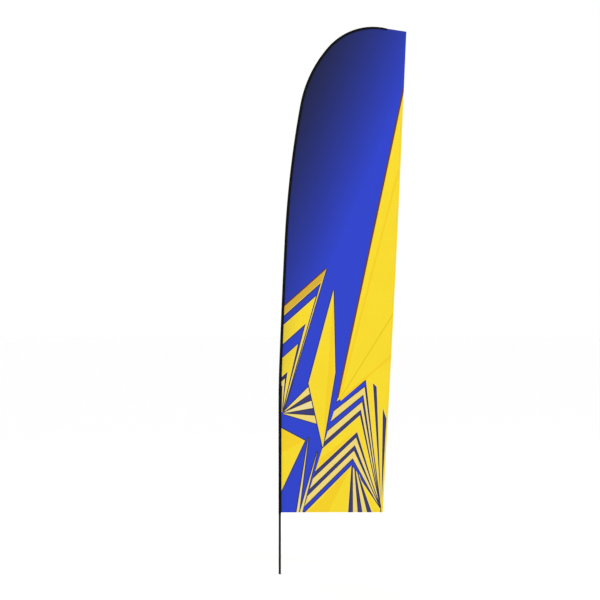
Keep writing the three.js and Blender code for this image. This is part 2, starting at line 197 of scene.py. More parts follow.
# ---- Print: a generic pattern of straight-edged shards and chevrons on a blue ground ----
# x is from the pole and z from the bottom edge, in centimetres.
INK_STRENGTH = 0.92
SHADE_BASE = 76  # the blue's lightness, of SHADE_SPAN at most, where the pole stands SHADE_SPAN high
SHADE_ACROSS = 2.2
SHADE_UP = 0.96
SHADE_SPAN = 145
OCHRE_WIDTH = 11  # yellow turns to ochre this near to the luff, above the heights OCHRE_RISE
OCHRE_RISE = (62, 95)
OCHRE_SHARE = 0.75
INKS = {
    "blue": (46, 67, 206),
    "night": (26, 28, 52),
    "yellow": (252, 222, 42),
    "ochre": (214, 190, 66),
    "golden": (250, 212, 34),
    "crease": (240, 208, 30),
    "gold": (218, 176, 52),
    "pale": (244, 220, 122),
    "cream": (240, 224, 160),
    "navy": (58, 60, 122),
    "dark": (52, 50, 84),
    "brown": (112, 60, 50),
}
DARK_INKS = ("blue", "navy", "dark")
BRIGHT_RIM = 0.3  # along every edge runs a pale line on its bright side and a dark one on the other
DARK_RIM = 0.55
LAYERS = [  # painted in this order: inks and their shares, first outline, last outline of a set of stripes
    # A long plain wedge along the fly edge.
    ([("yellow", 1)], [(32, 62), (72, 250), (80, 250), (80, -2), (32, -2)], None),
    # Chevrons growing out of the luff, all nested in one another.
    ([("gold", 2), ("blue", 2), ("yellow", 4), ("blue", 3), ("yellow", 4), ("dark", 1), ("pale", 1),
      ("dark", 1)],
     [(-1, 112), (26, 136), (2, 56)], [(-1, 66), (0, 67), (1, 56)]),
    # A fan of rays, and a tall kite over the rays' ends.
    ([("pale", 1), ("navy", 1), ("cream", 1), ("navy", 1), ("pale", 1)],
     [(2, 56), (19, 73)], [(2, 55), (22, 49)]),
    ([("yellow", 1)], [(30, 124), (31, 78), (24, 36), (16, 72)], None),
    # A triangle on the luff, and two thin rays that fall from beside it.
    ([("yellow", 1)], [(-1, 48), (14, 40), (-1, 8)], None),
    ([("cream", 1)], [(16, 42), (10.5, -2), (9, -2)], None),
    ([("cream", 1)], [(21, 34), (12, -2), (10.5, -2)], None),
    # Chevrons with one foot at the fly corner, and bars that stand below them.
    ([("blue", 4), ("pale", 4), ("blue", 4), ("pale", 4), ("navy", 3), ("yellow", 9), ("navy", 3),
      ("pale", 4), ("navy", 3), ("pale", 4), ("blue", 4)],
     [(32, 62), (48, 74), (56, 3)], [(12, -2), (40, 26), (56, 2)]),
    ([("yellow", 1)], [(40, 26), (12, -2), (56, -2), (56, 2)], None),
    ([("navy", 1), ("pale", 1), ("navy", 1), ("pale", 1), ("navy", 1)],
     [(40, 26), (38, -2)], [(44, 21), (52, -2)]),
    ([("navy", 1)], [(56.4, 5), (54, 70), (52, 72)], None),
    ([("navy", 1)], [(56.8, 6), (59.5, 52), (57.5, 58)], None),
]
FACETS = [  # ink, corners
    ("golden", [(30, 122), (30.6, 78), (24, 38)]),
    ("golden", [(-1, 48), (13, 40), (-1, 32)]),
    ("golden", [(39, 24.5), (14, -2), (26, -2)]),
    ("golden", [(20.5, 24), (42, 45), (22.5, 30)]),
]
STROKES = [  # ink, width, line
    ("crease", 0.9, [(34, 64), (64, 112)]),
    ("golden", 1.4, [(34, 63), (63, 88)]),
    ("golden", 1.2, [(34, 66), (66, 190)]),
    ("brown", 0.85, [(32.4, 64), (72, 250)]),
    ("brown", 0.55, [(-1, 112), (25.4, 135.5)]),
]


# ---- The bent centreline ----
def pole_at(s):
    """Points on the centreline at distances s, and the unit vectors along it and into the bend."""
    left = np.atleast_1d(np.asarray(s, float)).copy()
    x, z, angle = np.zeros_like(left), np.zeros_like(left), np.zeros_like(left)
    for length, degrees in BENDS:
        run = np.minimum(left, length)
        half = math.radians(degrees) * run / length / 2
        chord = run * np.sinc(half / np.pi)
        x += chord * np.sin(angle + half)
        z += chord * np.cos(angle + half)
        angle += 2 * half
        left -= run
    x += left * np.sin(angle)
    z += left * np.cos(angle)
    zero = np.zeros_like(x)
    point = np.stack([x, zero, z], 1)
    along = np.stack([np.sin(angle), zero, np.cos(angle)], 1)
    inward = np.stack([np.cos(angle), zero, -np.sin(angle)], 1)
    return point, along, inward


def smoothstep(value, low, high):
    t = np.clip((np.asarray(value, float) - low) / (high - low), 0, 1)
    return t * t * (3 - 2 * t)


def sleeve_radius(s):
    taper = TIP_TAPER_START - SLEEVE_TAPER_START
    share = np.clip((np.asarray(s, float) - SLEEVE_TAPER_START) / taper, 0, 1)
    narrowing = (SLEEVE_HIGH - SLEEVE_TIP) * smoothstep(s, TIP_TAPER_START, POLE_LENGTH)
    return SLEEVE_LOW + (SLEEVE_HIGH - SLEEVE_LOW) * share - narrowing


def tip_radius(s):
    start = UPPER_JOINT + COLLAR_WIDTH + SOCKET_DEPTH
    share = np.clip((np.asarray(s, float) - start) / (TIP_SECTION_END - start), 0, 1)
    return TIP_BUTT + (TIP_POINT - TIP_BUTT) * share


# ---- Mesh building ----
def make_piece(name, verts, faces, body, material, uvs=None, sharp=40, replaces=(), merge=True):
    """verts in millimetres. uvs holds one pair for each corner of each face, in metres."""
    mesh = bpy.data.meshes.new(name)
    mesh.from_pydata([tuple(v) for v in np.asarray(verts, float) * MM], [], faces)
    if uvs is not None:
        layer = mesh.uv_layers.new(name="UVMap")
        layer.data.foreach_set("uv", np.asarray(uvs, np.float32).ravel())
    if merge:
        tidy_mesh(mesh)
    return place_piece(name, mesh, body, material, sharp, replaces)


def place_piece(name, mesh, body, material, sharp=40, replaces=()):
    """Makes a mesh a piece that rides on a body; a piece without a body is left unattached."""
    mesh.shade_smooth()
    mesh.set_sharp_from_angle(angle=math.radians(sharp))
    mesh.materials.clear()
    mesh.materials.append(material)
    piece = linked(name, mesh)
    if body:
        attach(piece, body)
    if replaces:
        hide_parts(*replaces)
    return piece


def linked(name, data):
    made = bpy.data.objects.new(name, data)
    bpy.context.scene.collection.objects.link(made)
    return made


def tidy_mesh(mesh):
    work = bmesh.new()
    work.from_mesh(mesh)
    bmesh.ops.remove_doubles(work, verts=work.verts, dist=1e-6)
    bmesh.ops.recalc_face_normals(work, faces=work.faces)
    work.to_mesh(mesh)
    work.free()


def grid_faces(rows, columns, wrap_rows=False, wrap_columns=False):
    """Quads over a grid of points, and the row and column of each of their corners, before wrapping."""
    faces = []
    corners = []
    for r in range(rows if wrap_rows else rows - 1):
        for c in range(columns if wrap_columns else columns - 1):
            quad = [(r, c), (r, c + 1), (r + 1, c + 1), (r + 1, c)]
            faces.append([(i % rows) * columns + j % columns for i, j in quad])
            corners.extend(quad)
    return faces, np.array(corners)


def along_path(points):
    """Distance along a line of points, from its first."""
    steps = np.linalg.norm(np.diff(points, axis=0), axis=1)
    return np.concatenate([[0], np.cumsum(steps)])


def rounded(outline, radius, steps=3):
    """The same open outline of pairs with each of its corners rounded off."""
    outline = [np.array(p, float) for p in outline]
    result = [outline[0]]
    for before, corner, after in zip(outline, outline[1:], outline[2:]):
        back, ahead = before - corner, after - corner
        reach = min(radius, np.linalg.norm(back) / 2.5, np.linalg.norm(ahead) / 2.5)
        start = corner + back / np.linalg.norm(back) * reach
        end = corner + ahead / np.linalg.norm(ahead) * reach
        for t in np.linspace(0, 1, steps + 1):
            result.append((1 - t) ** 2 * start + 2 * t * (1 - t) * corner + t * t * end)
    result.append(outline[-1])
    return result


def wall(radius, start, end, step=8.0):
    """[radius, s] pairs from start to end; radius is a number or a function of s."""
    count = max(2, int(abs(end - start) / step) + 1)
    places = np.linspace(start, end, count)
    radii = radius(places) if callable(radius) else np.full(count, float(radius))
    return list(zip(radii, places))


def lathe(name, outline, body, material, sides=48, pucker=None, replaces=()):
    """Turns an outline of (radius, s) about the pole's centreline. It closes on itself, or on the axis."""
    outline = np.array(outline, float)
    on_axis = outline[0, 0] == 0 and outline[-1, 0] == 0
    if not on_axis and np.allclose(outline[0], outline[-1]):
        outline = outline[:-1]
    radius, s = outline[:, :1], outline[:, 1]
    turn = np.linspace(0, 2 * np.pi, sides, endpoint=False)[None, :]
    centre, _, inward = pole_at(s)
    reach = radius + (pucker(s[:, None], turn) if pucker else 0) * (radius > 0)
    points = centre[:, None, :] + (reach * np.cos(turn))[:, :, None] * inward[:, None, :]
    points[:, :, 1] += reach * np.sin(turn)
    faces, corners = grid_faces(len(outline), sides, not on_axis, True)
    lengths = along_path(np.vstack([outline, outline[:1]]))
    u = corners[:, 1] / sides * 2 * np.pi * outline[:, 0].max() * MM
    uvs = np.stack([u, lengths[corners[:, 0]] * MM], 1)
    return make_piece(name, points.reshape(-1, 3), faces, body, material, uvs, replaces=replaces)


def band(name, sections, body, material, closed_path=False, replaces=(), sharp=40):
    """Joins cross-sections, an array of (place, point, xyz), each a closed loop, into one solid."""
    sections = np.asarray(sections, float)
    rows, columns = sections.shape[:2]
    faces, corners = grid_faces(rows, columns, closed_path, True)
    across = along_path(np.vstack([sections[0], sections[0][:1]]))
    spine = np.vstack([sections.mean(axis=1), sections.mean(axis=1)[:1]])
    uvs = np.stack([across[corners[:, 1]], along_path(spine)[corners[:, 0]]], 1) * MM
    if not closed_path:
        first, last = list(range(columns)), [(rows - 1) * columns + c for c in range(columns)]
        faces += [first[::-1], last]
        ends = np.stack([across[:-1], np.zeros(columns)], 1) * MM
        uvs = np.vstack([uvs, ends[::-1], ends])
    return make_piece(name, sections.reshape(-1, 3), faces, body, material, uvs, sharp, replaces)


# ---- Materials ----
def node(tree, kind, inputs=None, **settings):
    made = tree.nodes.new(kind)
    for key, value in settings.items():
        setattr(made, key, value)
    for key, value in (inputs or {}).items():
        if isinstance(value, bpy.types.NodeSocket):
            tree.links.new(value, made.inputs[key])
        else:
            made.inputs[key].default_value = value
    return made


def linear(colour):
    """Screen values from 0 to 255 as linear light."""
    share = np.asarray(colour, float) / 255
    return np.where(share <= 0.04045, share / 12.92, ((share + 0.055) / 1.055) ** 2.4)


def rgba(colour):
    return (*(float(c) for c in linear(colour)), 1.0)


def start_material(name, roughness, metallic=0.0, sheen=0.0, specular=0.5):
    made = bpy.data.materials.new(name)
    made.use_nodes = True
    tree = made.node_tree
    shader = tree.nodes["Principled BSDF"]
    shader.inputs["Roughness"].default_value = roughness
    shader.inputs["Metallic"].default_value = metallic
    shader.inputs["Specular IOR Level"].default_value = specular
    shader.inputs["Sheen Weight"].default_value = sheen
    shader.inputs["Sheen Roughness"].default_value = 0.4
    return made, tree, shader


def noise(tree, vector, scale, detail=3.0, roughness=0.5):
    return node(tree, "ShaderNodeTexNoise",
                {"Vector": vector, "Scale": scale, "Detail": detail, "Roughness": roughness}).outputs["Fac"]


def wave(tree, vector, scale, direction):
    return node(tree, "ShaderNodeTexWave", {"Vector": vector, "Scale": scale}, wave_type="BANDS",
                wave_profile="SIN", bands_direction=direction).outputs["Fac"]


def maths(tree, operation, a, b=0.0):
    return node(tree, "ShaderNodeMath", {0: a, 1: b}, operation=operation).outputs[0]


def plus(tree, base, extra, share):
    """The base with a share of the extra value added."""
    return maths(tree, "ADD", base, maths(tree, "MULTIPLY", extra, share))


def mixed(tree, first, share, second):
    """A share of the first value and the rest of the second."""
    return plus(tree, maths(tree, "MULTIPLY", first, share), second, 1 - share)


def span(tree, value, low, high):
    """Maps 0..1 to low..high."""
    return node(tree, "ShaderNodeMapRange", {"Value": value, "To Min": low, "To Max": high}).outputs[0]


def tint(tree, value, dark, light):
    return node(tree, "ShaderNodeMix", {0: value, 6: rgba(dark), 7: rgba(light)}, data_type="RGBA").outputs[2]


def bump(tree, shader, height, distance, strength=1.0):
    made = node(tree, "ShaderNodeBump", {"Height": height, "Distance": distance, "Strength": strength})
    tree.links.new(made.outputs["Normal"], shader.inputs["Normal"])


def coordinates(tree, kind="UV"):
    return node(tree, "ShaderNodeTexCoord").outputs[kind]


def woven(tree, vector, threads, skew=0.0):
    """Height of a plain or twill weave. threads is how many of them lie in a metre."""
    turned = node(tree, "ShaderNodeMapping", {"Vector": vector, "Rotation": (0, 0, skew)}).outputs[0]
    period = threads / 20 * 2 * np.pi  # a wave texture of scale 1 repeats every 2 pi / 20
    across = wave(tree, turned, period / 2, "X")
    down = wave(tree, turned, period / 2, "Y")
    return maths(tree, "MULTIPLY", across, down)


def cloth_material(name, dark, light, threads, roughness, depth, skew=0.0):
    made, tree, shader = start_material(name, roughness, specular=0.08)
    uv = coordinates(tree)
    weave = woven(tree, uv, threads, skew)
    slub = noise(tree, uv, 60, 4)
    fuzz = noise(tree, uv, 900, 2)
    tree.links.new(tint(tree, mixed(tree, weave, 0.55, slub), dark, light), shader.inputs["Base Color"])
    tree.links.new(span(tree, slub, roughness - 0.08, roughness + 0.08), shader.inputs["Roughness"])
    bump(tree, shader, plus(tree, weave, fuzz, 0.3), depth)
    return made


def print_material():
    """Knitted polyester: its colour is the ink on the face, a little uneven from the knit and from wear."""
    made, tree, shader = start_material("printed_knit", roughness=0.78, specular=0.15)
    uv = coordinates(tree)
    ink = node(tree, "ShaderNodeVertexColor", layer_name="print").outputs["Color"]
    knit = woven(tree, uv, threads=1300, skew=math.radians(45))
    cloud = noise(tree, uv, 7, 5)
    grain = noise(tree, uv, 700, 2)
    level = span(tree, mixed(tree, cloud, 0.5, knit), 0.9, 1.05)
    grey = node(tree, "ShaderNodeCombineColor", {0: level, 1: level, 2: level}).outputs[0]
    shaded = node(tree, "ShaderNodeMix", {0: 1.0, 6: ink, 7: grey}, data_type="RGBA", blend_type="MULTIPLY")
    tree.links.new(shaded.outputs[2], shader.inputs["Base Color"])
    tree.links.new(span(tree, grain, 0.66, 0.8), shader.inputs["Roughness"])
    bump(tree, shader, plus(tree, knit, grain, 0.4), distance=0.0002, strength=0.9)
    return made


def hard_material(name, dark, light, roughness, metallic=0.0, specular=0.5, stretch=(1, 1, 1), scale=160,
                  depth=2e-5):
    """A hard finish: fine streaks or grain drawn out along an axis, with scuffs that change its gloss."""
    made, tree, shader = start_material(name, roughness, metallic, specular=specular)
    mapping = node(tree, "ShaderNodeMapping", {"Vector": coordinates(tree, "Object"), "Scale": stretch})
    place = mapping.outputs[0]
    grain = noise(tree, place, scale, 4)
    scuff = noise(tree, coordinates(tree, "Object"), 45, 6, 0.65)
    tree.links.new(tint(tree, grain, dark, light), shader.inputs["Base Color"])
    worn = span(tree, scuff, max(0.05, roughness - 0.12), roughness + 0.14)
    tree.links.new(worn, shader.inputs["Roughness"])
    bump(tree, shader, grain, depth, 0.5)
    return made


def turned_material(name, dark, light, roughness, metallic, specular=0.5):
    """Metal turned on a lathe: fine rings round the pole's axis."""
    made, tree, shader = start_material(name, roughness, metallic, specular=specular)
    place = coordinates(tree, "Object")
    rings = wave(tree, place, 900, "Z")
    patch = noise(tree, place, 35, 5, 0.6)
    tree.links.new(tint(tree, mixed(tree, rings, 0.3, patch), dark, light), shader.inputs["Base Color"])
    tree.links.new(span(tree, patch, roughness - 0.07, roughness + 0.12), shader.inputs["Roughness"])
    bump(tree, shader, rings, 1e-5, 0.5)
    return made


def elastic_material():
    """Flat elastic: ribs across it and cords along it."""
    made, tree, shader = start_material("ribbed_elastic", roughness=0.75, sheen=0.03, specular=0.2)
    uv = coordinates(tree)
    ribs = wave(tree, uv, 320, "Y")
    cords = wave(tree, uv, 260, "X")
    fuzz = noise(tree, uv, 1200, 3)
    shade = maths(tree, "MULTIPLY", ribs, cords)
    tree.links.new(tint(tree, shade, (9, 9, 10), (38, 38, 41)), shader.inputs["Base Color"])
    bump(tree, shader, plus(tree, shade, fuzz, 0.3), distance=0.0002)
    return made


# ---- The flat panel, and where a point of it lies in space ----
def luff_points(row):
    row = np.asarray(row, float)
    share = np.minimum(1, row / (1 - TIP_TURN))
    turn = np.maximum(0, (row - 1) / TIP_TURN + 1)
    s = FLAG_BOTTOM + (POLE_LENGTH - CLOTH_TUCK - FLAG_BOTTOM) * share
    point, _, inward = pole_at(s)
    reach = (sleeve_radius(s) - CLOTH_TUCK) * (1 - (1 + TIP_COVER) * turn)
    return (point + inward * reach[:, None])[:, [0, 2]]


def fly_points(row):
    row = np.asarray(row, float)
    x = FLY_BOTTOM_X + (FLY_TOP_X - FLY_BOTTOM_X) * row + FLY_BOW * np.sin(np.pi * row)
    return np.stack([x, FLAG_BOTTOM + (FLY_TOP_Z - FLAG_BOTTOM) * row], 1)


ROW_TABLE = np.linspace(0, 1, 6001)
LUFF_TABLE = luff_points(ROW_TABLE)


def luff_at(row):
    return np.stack([np.interp(row, ROW_TABLE, LUFF_TABLE[:, k]) for k in (0, 1)], 1)


def column_and_row(flat):
    """Finds the ruled line from luff to fly that passes through each flat point (x, z)."""
    flat = np.asarray(flat, float)
    low, high = np.zeros(len(flat)), np.ones(len(flat))
    for _ in range(40):
        row = (low + high) / 2
        start, end = luff_at(row), fly_points(row)
        line, reach = end - start, flat - start
        above = line[:, 0] * reach[:, 1] - line[:, 1] * reach[:, 0] > 0
        low, high = np.where(above, row, low), np.where(above, high, row)
    start, line = luff_at(row), fly_points(row) - luff_at(row)
    column = ((flat - start) * line).sum(1) / (line * line).sum(1)
    return np.clip(column, 0, 1), row


def crease(kind, along, across):
    depth, pitch, wander, wander_pitch = CREASES[kind]
    return depth * np.sin(along / pitch + wander * np.sin(across / wander_pitch))


def cloth_height(flat):
    """The panel's y: the CAD's belly and sway, with the fine tension creases that the cloth adds."""
    column, row = column_and_row(flat)
    belly = BELLY * np.sin(np.pi * column) * np.sin(np.pi * (BELLY_START + BELLY_SPAN * row))
    sway = FLY_SWAY * column**2 * np.sin(2 * np.pi * (SWAY_START + SWAY_WAVES * row))
    x, z = np.asarray(flat, float).T
    slack = smoothstep(column, 0, 0.12) * smoothstep(1 - column, 0, 0.1)
    free = np.sin(np.pi * column) ** 0.7 * slack
    creases = (crease("drag", z + DRAG_SLANT * x, z) + crease("fold", z - FOLD_SLANT * x, x)) * free
    gather = crease("gather", z, z) * np.exp(-column * GATHER_FADE) * smoothstep(column, 0, 0.02)
    flutter = crease("flutter", z, z) * smoothstep(column, 0.75, 1.0)
    return belly + sway + creases + gather + flutter


def inside(polygon, points):
    """Which points lie inside a polygon, by counting the edges to their right."""
    polygon = np.asarray(polygon, float)
    x, z = points[:, 0], points[:, 1]
    count = np.zeros(len(points), int)
    for (x0, z0), (x1, z1) in zip(polygon, np.roll(polygon, -1, axis=0)):
        if z0 == z1:
            continue
        crosses = (z0 > z) != (z1 > z)
        at = x0 + (z - z0) * (x1 - x0) / (z1 - z0)
        count += crosses & (at > x)
    return count % 2 == 1


def resampled(points, step):
    points = np.asarray(points, float)
    lengths = along_path(points)
    places = np.linspace(0, lengths[-1], max(2, int(round(lengths[-1] / step)) + 1))
    return np.stack([np.interp(places, lengths, points[:, k]) for k in range(points.shape[1])], 1)


def shifted(points, distance):
    """A line of flat points moved sideways, to its left."""
    direction = np.gradient(points, axis=0)
    direction /= np.linalg.norm(direction, axis=1)[:, None]
    return points + np.stack([-direction[:, 1], direction[:, 0]], 1) * distance


def stroke_shapes():
    """Every straight run of a stroke as a thin four-sided shape."""
    shapes = []
    for ink, width, line in STROKES:
        for a, b in zip(np.array(line[:-1], float), np.array(line[1:], float)):
            run = (b - a) / np.linalg.norm(b - a)
            side = np.array([-run[1], run[0]]) * width / 2
            a, b = a - run * width / 3, b + run * width / 3
            shapes.append((ink, np.array([a + side, b + side, b - side, a - side])))
    return shapes


def layer_shapes():
    """Every shard and stripe, and which of its edges are lined. A stripe lies between two steps on the way
    from the set's first outline to its last."""
    shapes = []
    for inks, first, last in LAYERS:
        first = np.array(first, float)
        if last is None:
            shapes.append((inks[0][0], first, range(len(first))))
            continue
        sides = [*range(len(first) - 1), *range(len(first), 2 * len(first) - 1)]
        change = np.array(last, float) - first
        ends = np.cumsum([0] + [share for _, share in inks]) / sum(share for _, share in inks)
        for (ink, _), start, end in zip(inks, ends, ends[1:]):
            shapes.append((ink, np.vstack([first + change * start, (first + change * end)[::-1]]), sides))
    return shapes


def rims(ink, shard, lined):
    """Thin lines along both sides of a shard's lined edges, each with whether it stays within the shard."""
    after = np.roll(shard, -1, axis=0)
    winding = np.sign((shard[:, 0] * after[:, 1] - shard[:, 1] * after[:, 0]).sum())
    lines = [("pale", BRIGHT_RIM), ("dark", DARK_RIM)]
    if ink in DARK_INKS:
        lines.reverse()
    found = []
    for edge in lined:
        a, b = shard[edge], after[edge]
        run = (b - a) / np.linalg.norm(b - a)
        inner = np.array([-run[1], run[0]]) * winding
        for (rim, width), side in zip(lines, (inner, -inner)):
            found.append((rim, np.array([a, b, b + side * width, a + side * width]), side is inner))
    return found


def print_shapes():
    """Painter's order: ink, shape, and the shard that the shape is kept inside or outside of."""
    shapes = []
    for ink, shard, lined in layer_shapes():
        shapes.append((ink, shard, None, True))
        shapes += [(rim, line, shard, within) for rim, line, within in rims(ink, shard, lined)]
    facets = [(ink, np.array(corners, float)) for ink, corners in FACETS]
    shapes += [(ink, shape, None, True) for ink, shape in facets + stroke_shapes()]
    ground = np.array([0, FLAG_BOTTOM])
    return [(ink, shape * CM + ground, None if shard is None else shard * CM + ground, within)
            for ink, shape, shard, within in shapes]


def ink_colours(inks, points):
    """Colour of each point: its ink, darker towards the luff and the top, in linear light."""
    x, z = points[:, 0] / CM, (points[:, 1] - FLAG_BOTTOM) / CM
    light = np.clip((SHADE_BASE + SHADE_ACROSS * x - SHADE_UP * (z - SHADE_SPAN)) / SHADE_SPAN, 0, 1)[:, None]
    near_luff = np.clip(1 - x / OCHRE_WIDTH, 0, 1) * smoothstep(z, *OCHRE_RISE)
    near_luff = near_luff[:, None] * OCHRE_SHARE
    names = list(INKS)
    table = np.array([INKS[name] for name in names], float)
    colour = table[inks]
    night, ochre = np.array(INKS["night"], float), np.array(INKS["ochre"], float)
    is_blue = (inks == names.index("blue"))[:, None]
    is_yellow = (inks == names.index("yellow"))[:, None]
    colour = np.where(is_blue, night + (colour - night) * light, colour)
    colour = np.where(is_yellow, colour + (ochre - colour) * near_luff, colour)
    return linear(colour) * INK_STRENGTH


def beside_sleeve(offset, short):
    """Flat points at a steady distance from the sleeve's surface, from its mouth almost to its tip."""
    places = np.arange(FLAG_BOTTOM, POLE_LENGTH - short, EDGE_STEP)
    centre, _, inward = pole_at(places)
    return (centre + inward * (sleeve_radius(places) + offset)[:, None])[:, [0, 2]]


def panel_edges():
    """The flat panel's bottom, fly, top and luff, each from the end where the one before it stops, except
    for the luff, which runs upwards."""
    luff = resampled(luff_at(np.linspace(0, 1, 3001)), EDGE_STEP)
    fly = resampled(fly_points(np.linspace(0, 1, 301)), EDGE_STEP)
    return resampled([luff[0], fly[0]], EDGE_STEP), fly, resampled([fly[-1], luff[-1]], EDGE_STEP), luff


def hem_line(bottom, fly, top):
    """The hem's inner edge, from the luff along the bottom, up beside the fly and back along the top."""
    bottom, fly, top = bottom + np.array([0, HEM_WIDTH]), shifted(fly, HEM_WIDTH), shifted(top, HEM_WIDTH)
    corner = np.array([np.interp(bottom[0, 1], fly[:, 1], fly[:, 0]), bottom[0, 1]])
    between = (fly[:, 1] > corner[1] + 1) & (fly[:, 1] < top[0, 1] - 1)
    return np.vstack([bottom[bottom[:, 0] < corner[0] - 1], corner[None], fly[between],
                      top[top[:, 0] < fly[-1, 0]]])


def flat_cloth():
    """Triangulates the flat panel so that every shard, hem and seam edge is an edge of the mesh."""
    bottom, fly, top, luff = panel_edges()
    outline = np.vstack([bottom[:-1], fly[:-1], top[:-1], luff[::-1][:-1]])
    hem_inner = hem_line(bottom, fly, top)
    seam_back = beside_sleeve(SEAM_BACK, 4)
    left = luff[0, 0]
    patch = np.array([[left, FLAG_BOTTOM], [left + PATCH_WIDTH, FLAG_BOTTOM],
                      [left + PATCH_TOP, FLAG_BOTTOM + PATCH_HEIGHT], [left, FLAG_BOTTOM + PATCH_HEIGHT]])
    shapes = print_shapes()

    segments = list(zip(outline, np.roll(outline, -1, axis=0)))
    for line in (hem_inner, seam_back, patch[1:]):
        segments += list(zip(line[:-1], line[1:]))
    for _, shape, _, _ in shapes:
        for a, b in zip(shape, np.roll(shape, -1, axis=0)):
            count = max(1, int(np.linalg.norm(b - a) / CLOTH_GRID))
            line = a + (b - a) * np.linspace(0, 1, count + 1)[:, None]
            segments += list(zip(line[:-1], line[1:]))
    verts, faces, area = triangulated(outline, np.array(segments))

    middle = verts[faces].mean(axis=1)
    seam = inside(np.vstack([beside_sleeve(-1, 4), seam_back[::-1]]), middle)
    hem = inside(np.vstack([bottom[:-1], fly[:-1], top, hem_inner[::-1]]), middle)
    patch_seam = patch + PATCH_SEAM
    return {
        "verts": verts, "faces": faces, "area": area, "inks": face_inks(shapes, middle),
        "height": cloth_height(verts),
        "masks": {"hem": hem & ~seam, "patch": inside(patch, middle)},
        "hem_seams": [bottom[2:-2] + [0, HEM_SEAM], shifted(fly, HEM_SEAM)[2:-2],
                      shifted(top, HEM_SEAM)[1:-1]],
        "luff_seams": [(side, beside_sleeve(offset, short)) for side, offset, short in SEAM_ROWS],
        "patch_seams": list(zip(patch_seam[:-1], patch_seam[1:])),
    }


def triangulated(outline, segments):
    """Triangles inside the outline, with every segment among their edges and loose points between."""
    low, high = outline.min(axis=0), outline.max(axis=0) + CLOTH_GRID
    xs = np.arange(low[0], high[0], CLOTH_GRID)
    zs = np.arange(low[1], high[1], CLOTH_GRID * GRID_ROW)
    grid = np.array([(x + CLOTH_GRID / 2 * (i % 2), z) for i, z in enumerate(zs) for x in xs])
    grid = grid[inside(outline, grid)]
    grid = grid[far_from(segments, grid, GRID_CLEAR)]
    points = np.vstack([segments.reshape(-1, 2), grid])
    edges = [(2 * i, 2 * i + 1) for i in range(len(segments))]
    found = delaunay_2d_cdt([Vector(p) for p in points], edges, [], 0, MERGE, False)
    verts = np.array([tuple(v) for v in found[0]])
    faces = np.array([list(f) for f in found[2]])
    corners = verts[faces]
    u, v = corners[:, 1] - corners[:, 0], corners[:, 2] - corners[:, 0]
    area = np.abs(u[:, 0] * v[:, 1] - u[:, 1] * v[:, 0]) / 2
    keep = inside(outline, corners.mean(axis=1)) & (area > LEAST_AREA)
    return verts, faces[keep], area[keep].sum()


def face_inks(shapes, middle):
    """The number of each triangle's ink, from the last shape painted over its middle."""
    names = list(INKS)
    inks = np.full(len(middle), names.index("blue"))
    for ink, shape, shard, within in shapes:
        painted = inside(shape, middle)
        if shard is not None:
            painted &= inside(shard, middle) == within
        inks[painted] = names.index(ink)
    return inks


def far_from(segments, points, clear):
    keep = np.ones(len(points), bool)
    for a, b in segments:
        if np.linalg.norm(b - a) == 0:
            continue
        t = np.clip(((points - a) @ (b - a)) / ((b - a) @ (b - a)), 0, 1)
        keep &= np.linalg.norm(points - a - t[:, None] * (b - a), axis=1) > clear
    return keep


def cloth_layer(name, flat, chosen, front, back, material, replaces=()):
    """A closed slab of the chosen triangles, from depth front to depth back behind the panel's middle."""
    faces = flat["faces"][chosen]
    inks = flat["inks"][chosen]
    used, faces = np.unique(faces, return_inverse=True)
    faces = faces.reshape(-1, 3)
    flat_points, height = flat["verts"][used], flat["height"][used]
    count = len(used)

    def layer(depth):
        return np.stack([flat_points[:, 0], height + depth, flat_points[:, 1]], 1)

    directed = np.vstack([faces[:, [0, 1]], faces[:, [1, 2]], faces[:, [2, 0]]])
    owner = np.tile(np.arange(len(faces)), 3)
    seen = {(a, b) for a, b in directed}
    rim = [(a, b, inks[o]) for (a, b), o in zip(directed, owner) if (b, a) not in seen]
    solid = [list(f) for f in faces] + [[f[2] + count, f[1] + count, f[0] + count] for f in faces]
    solid += [[b, a, a + count, b + count] for a, b, _ in rim]
    rim_inks = [ink for _, _, ink in rim]
    corner_inks = np.concatenate([np.repeat(inks, 3), np.repeat(inks, 3), np.repeat(rim_inks, 4)])
    corner_points = flat_points[np.concatenate([np.array(f) % count for f in solid])]
    piece = make_piece(name, np.vstack([layer(front), layer(back)]), solid, "upper_pole", material,
                       corner_points * MM, CLOTH_SHARP, replaces, merge=False)
    colours = piece.data.color_attributes.new(name="print", type="FLOAT_COLOR", domain="CORNER")
    values = np.ones((len(corner_points), 4), np.float32)
    values[:, :3] = ink_colours(corner_inks, corner_points)
    colours.data.foreach_set("color", values.ravel())
    return piece


# ---- Stitches ----
STITCH_RINGS = [(0.0, 0.0), (0.12, 0.75), (0.5, 1.0), (0.88, 0.75), (1.0, 0.0)]  # place and width, as shares
STITCH_LIFT = 0.12
STITCH_HEIGHT = 0.7


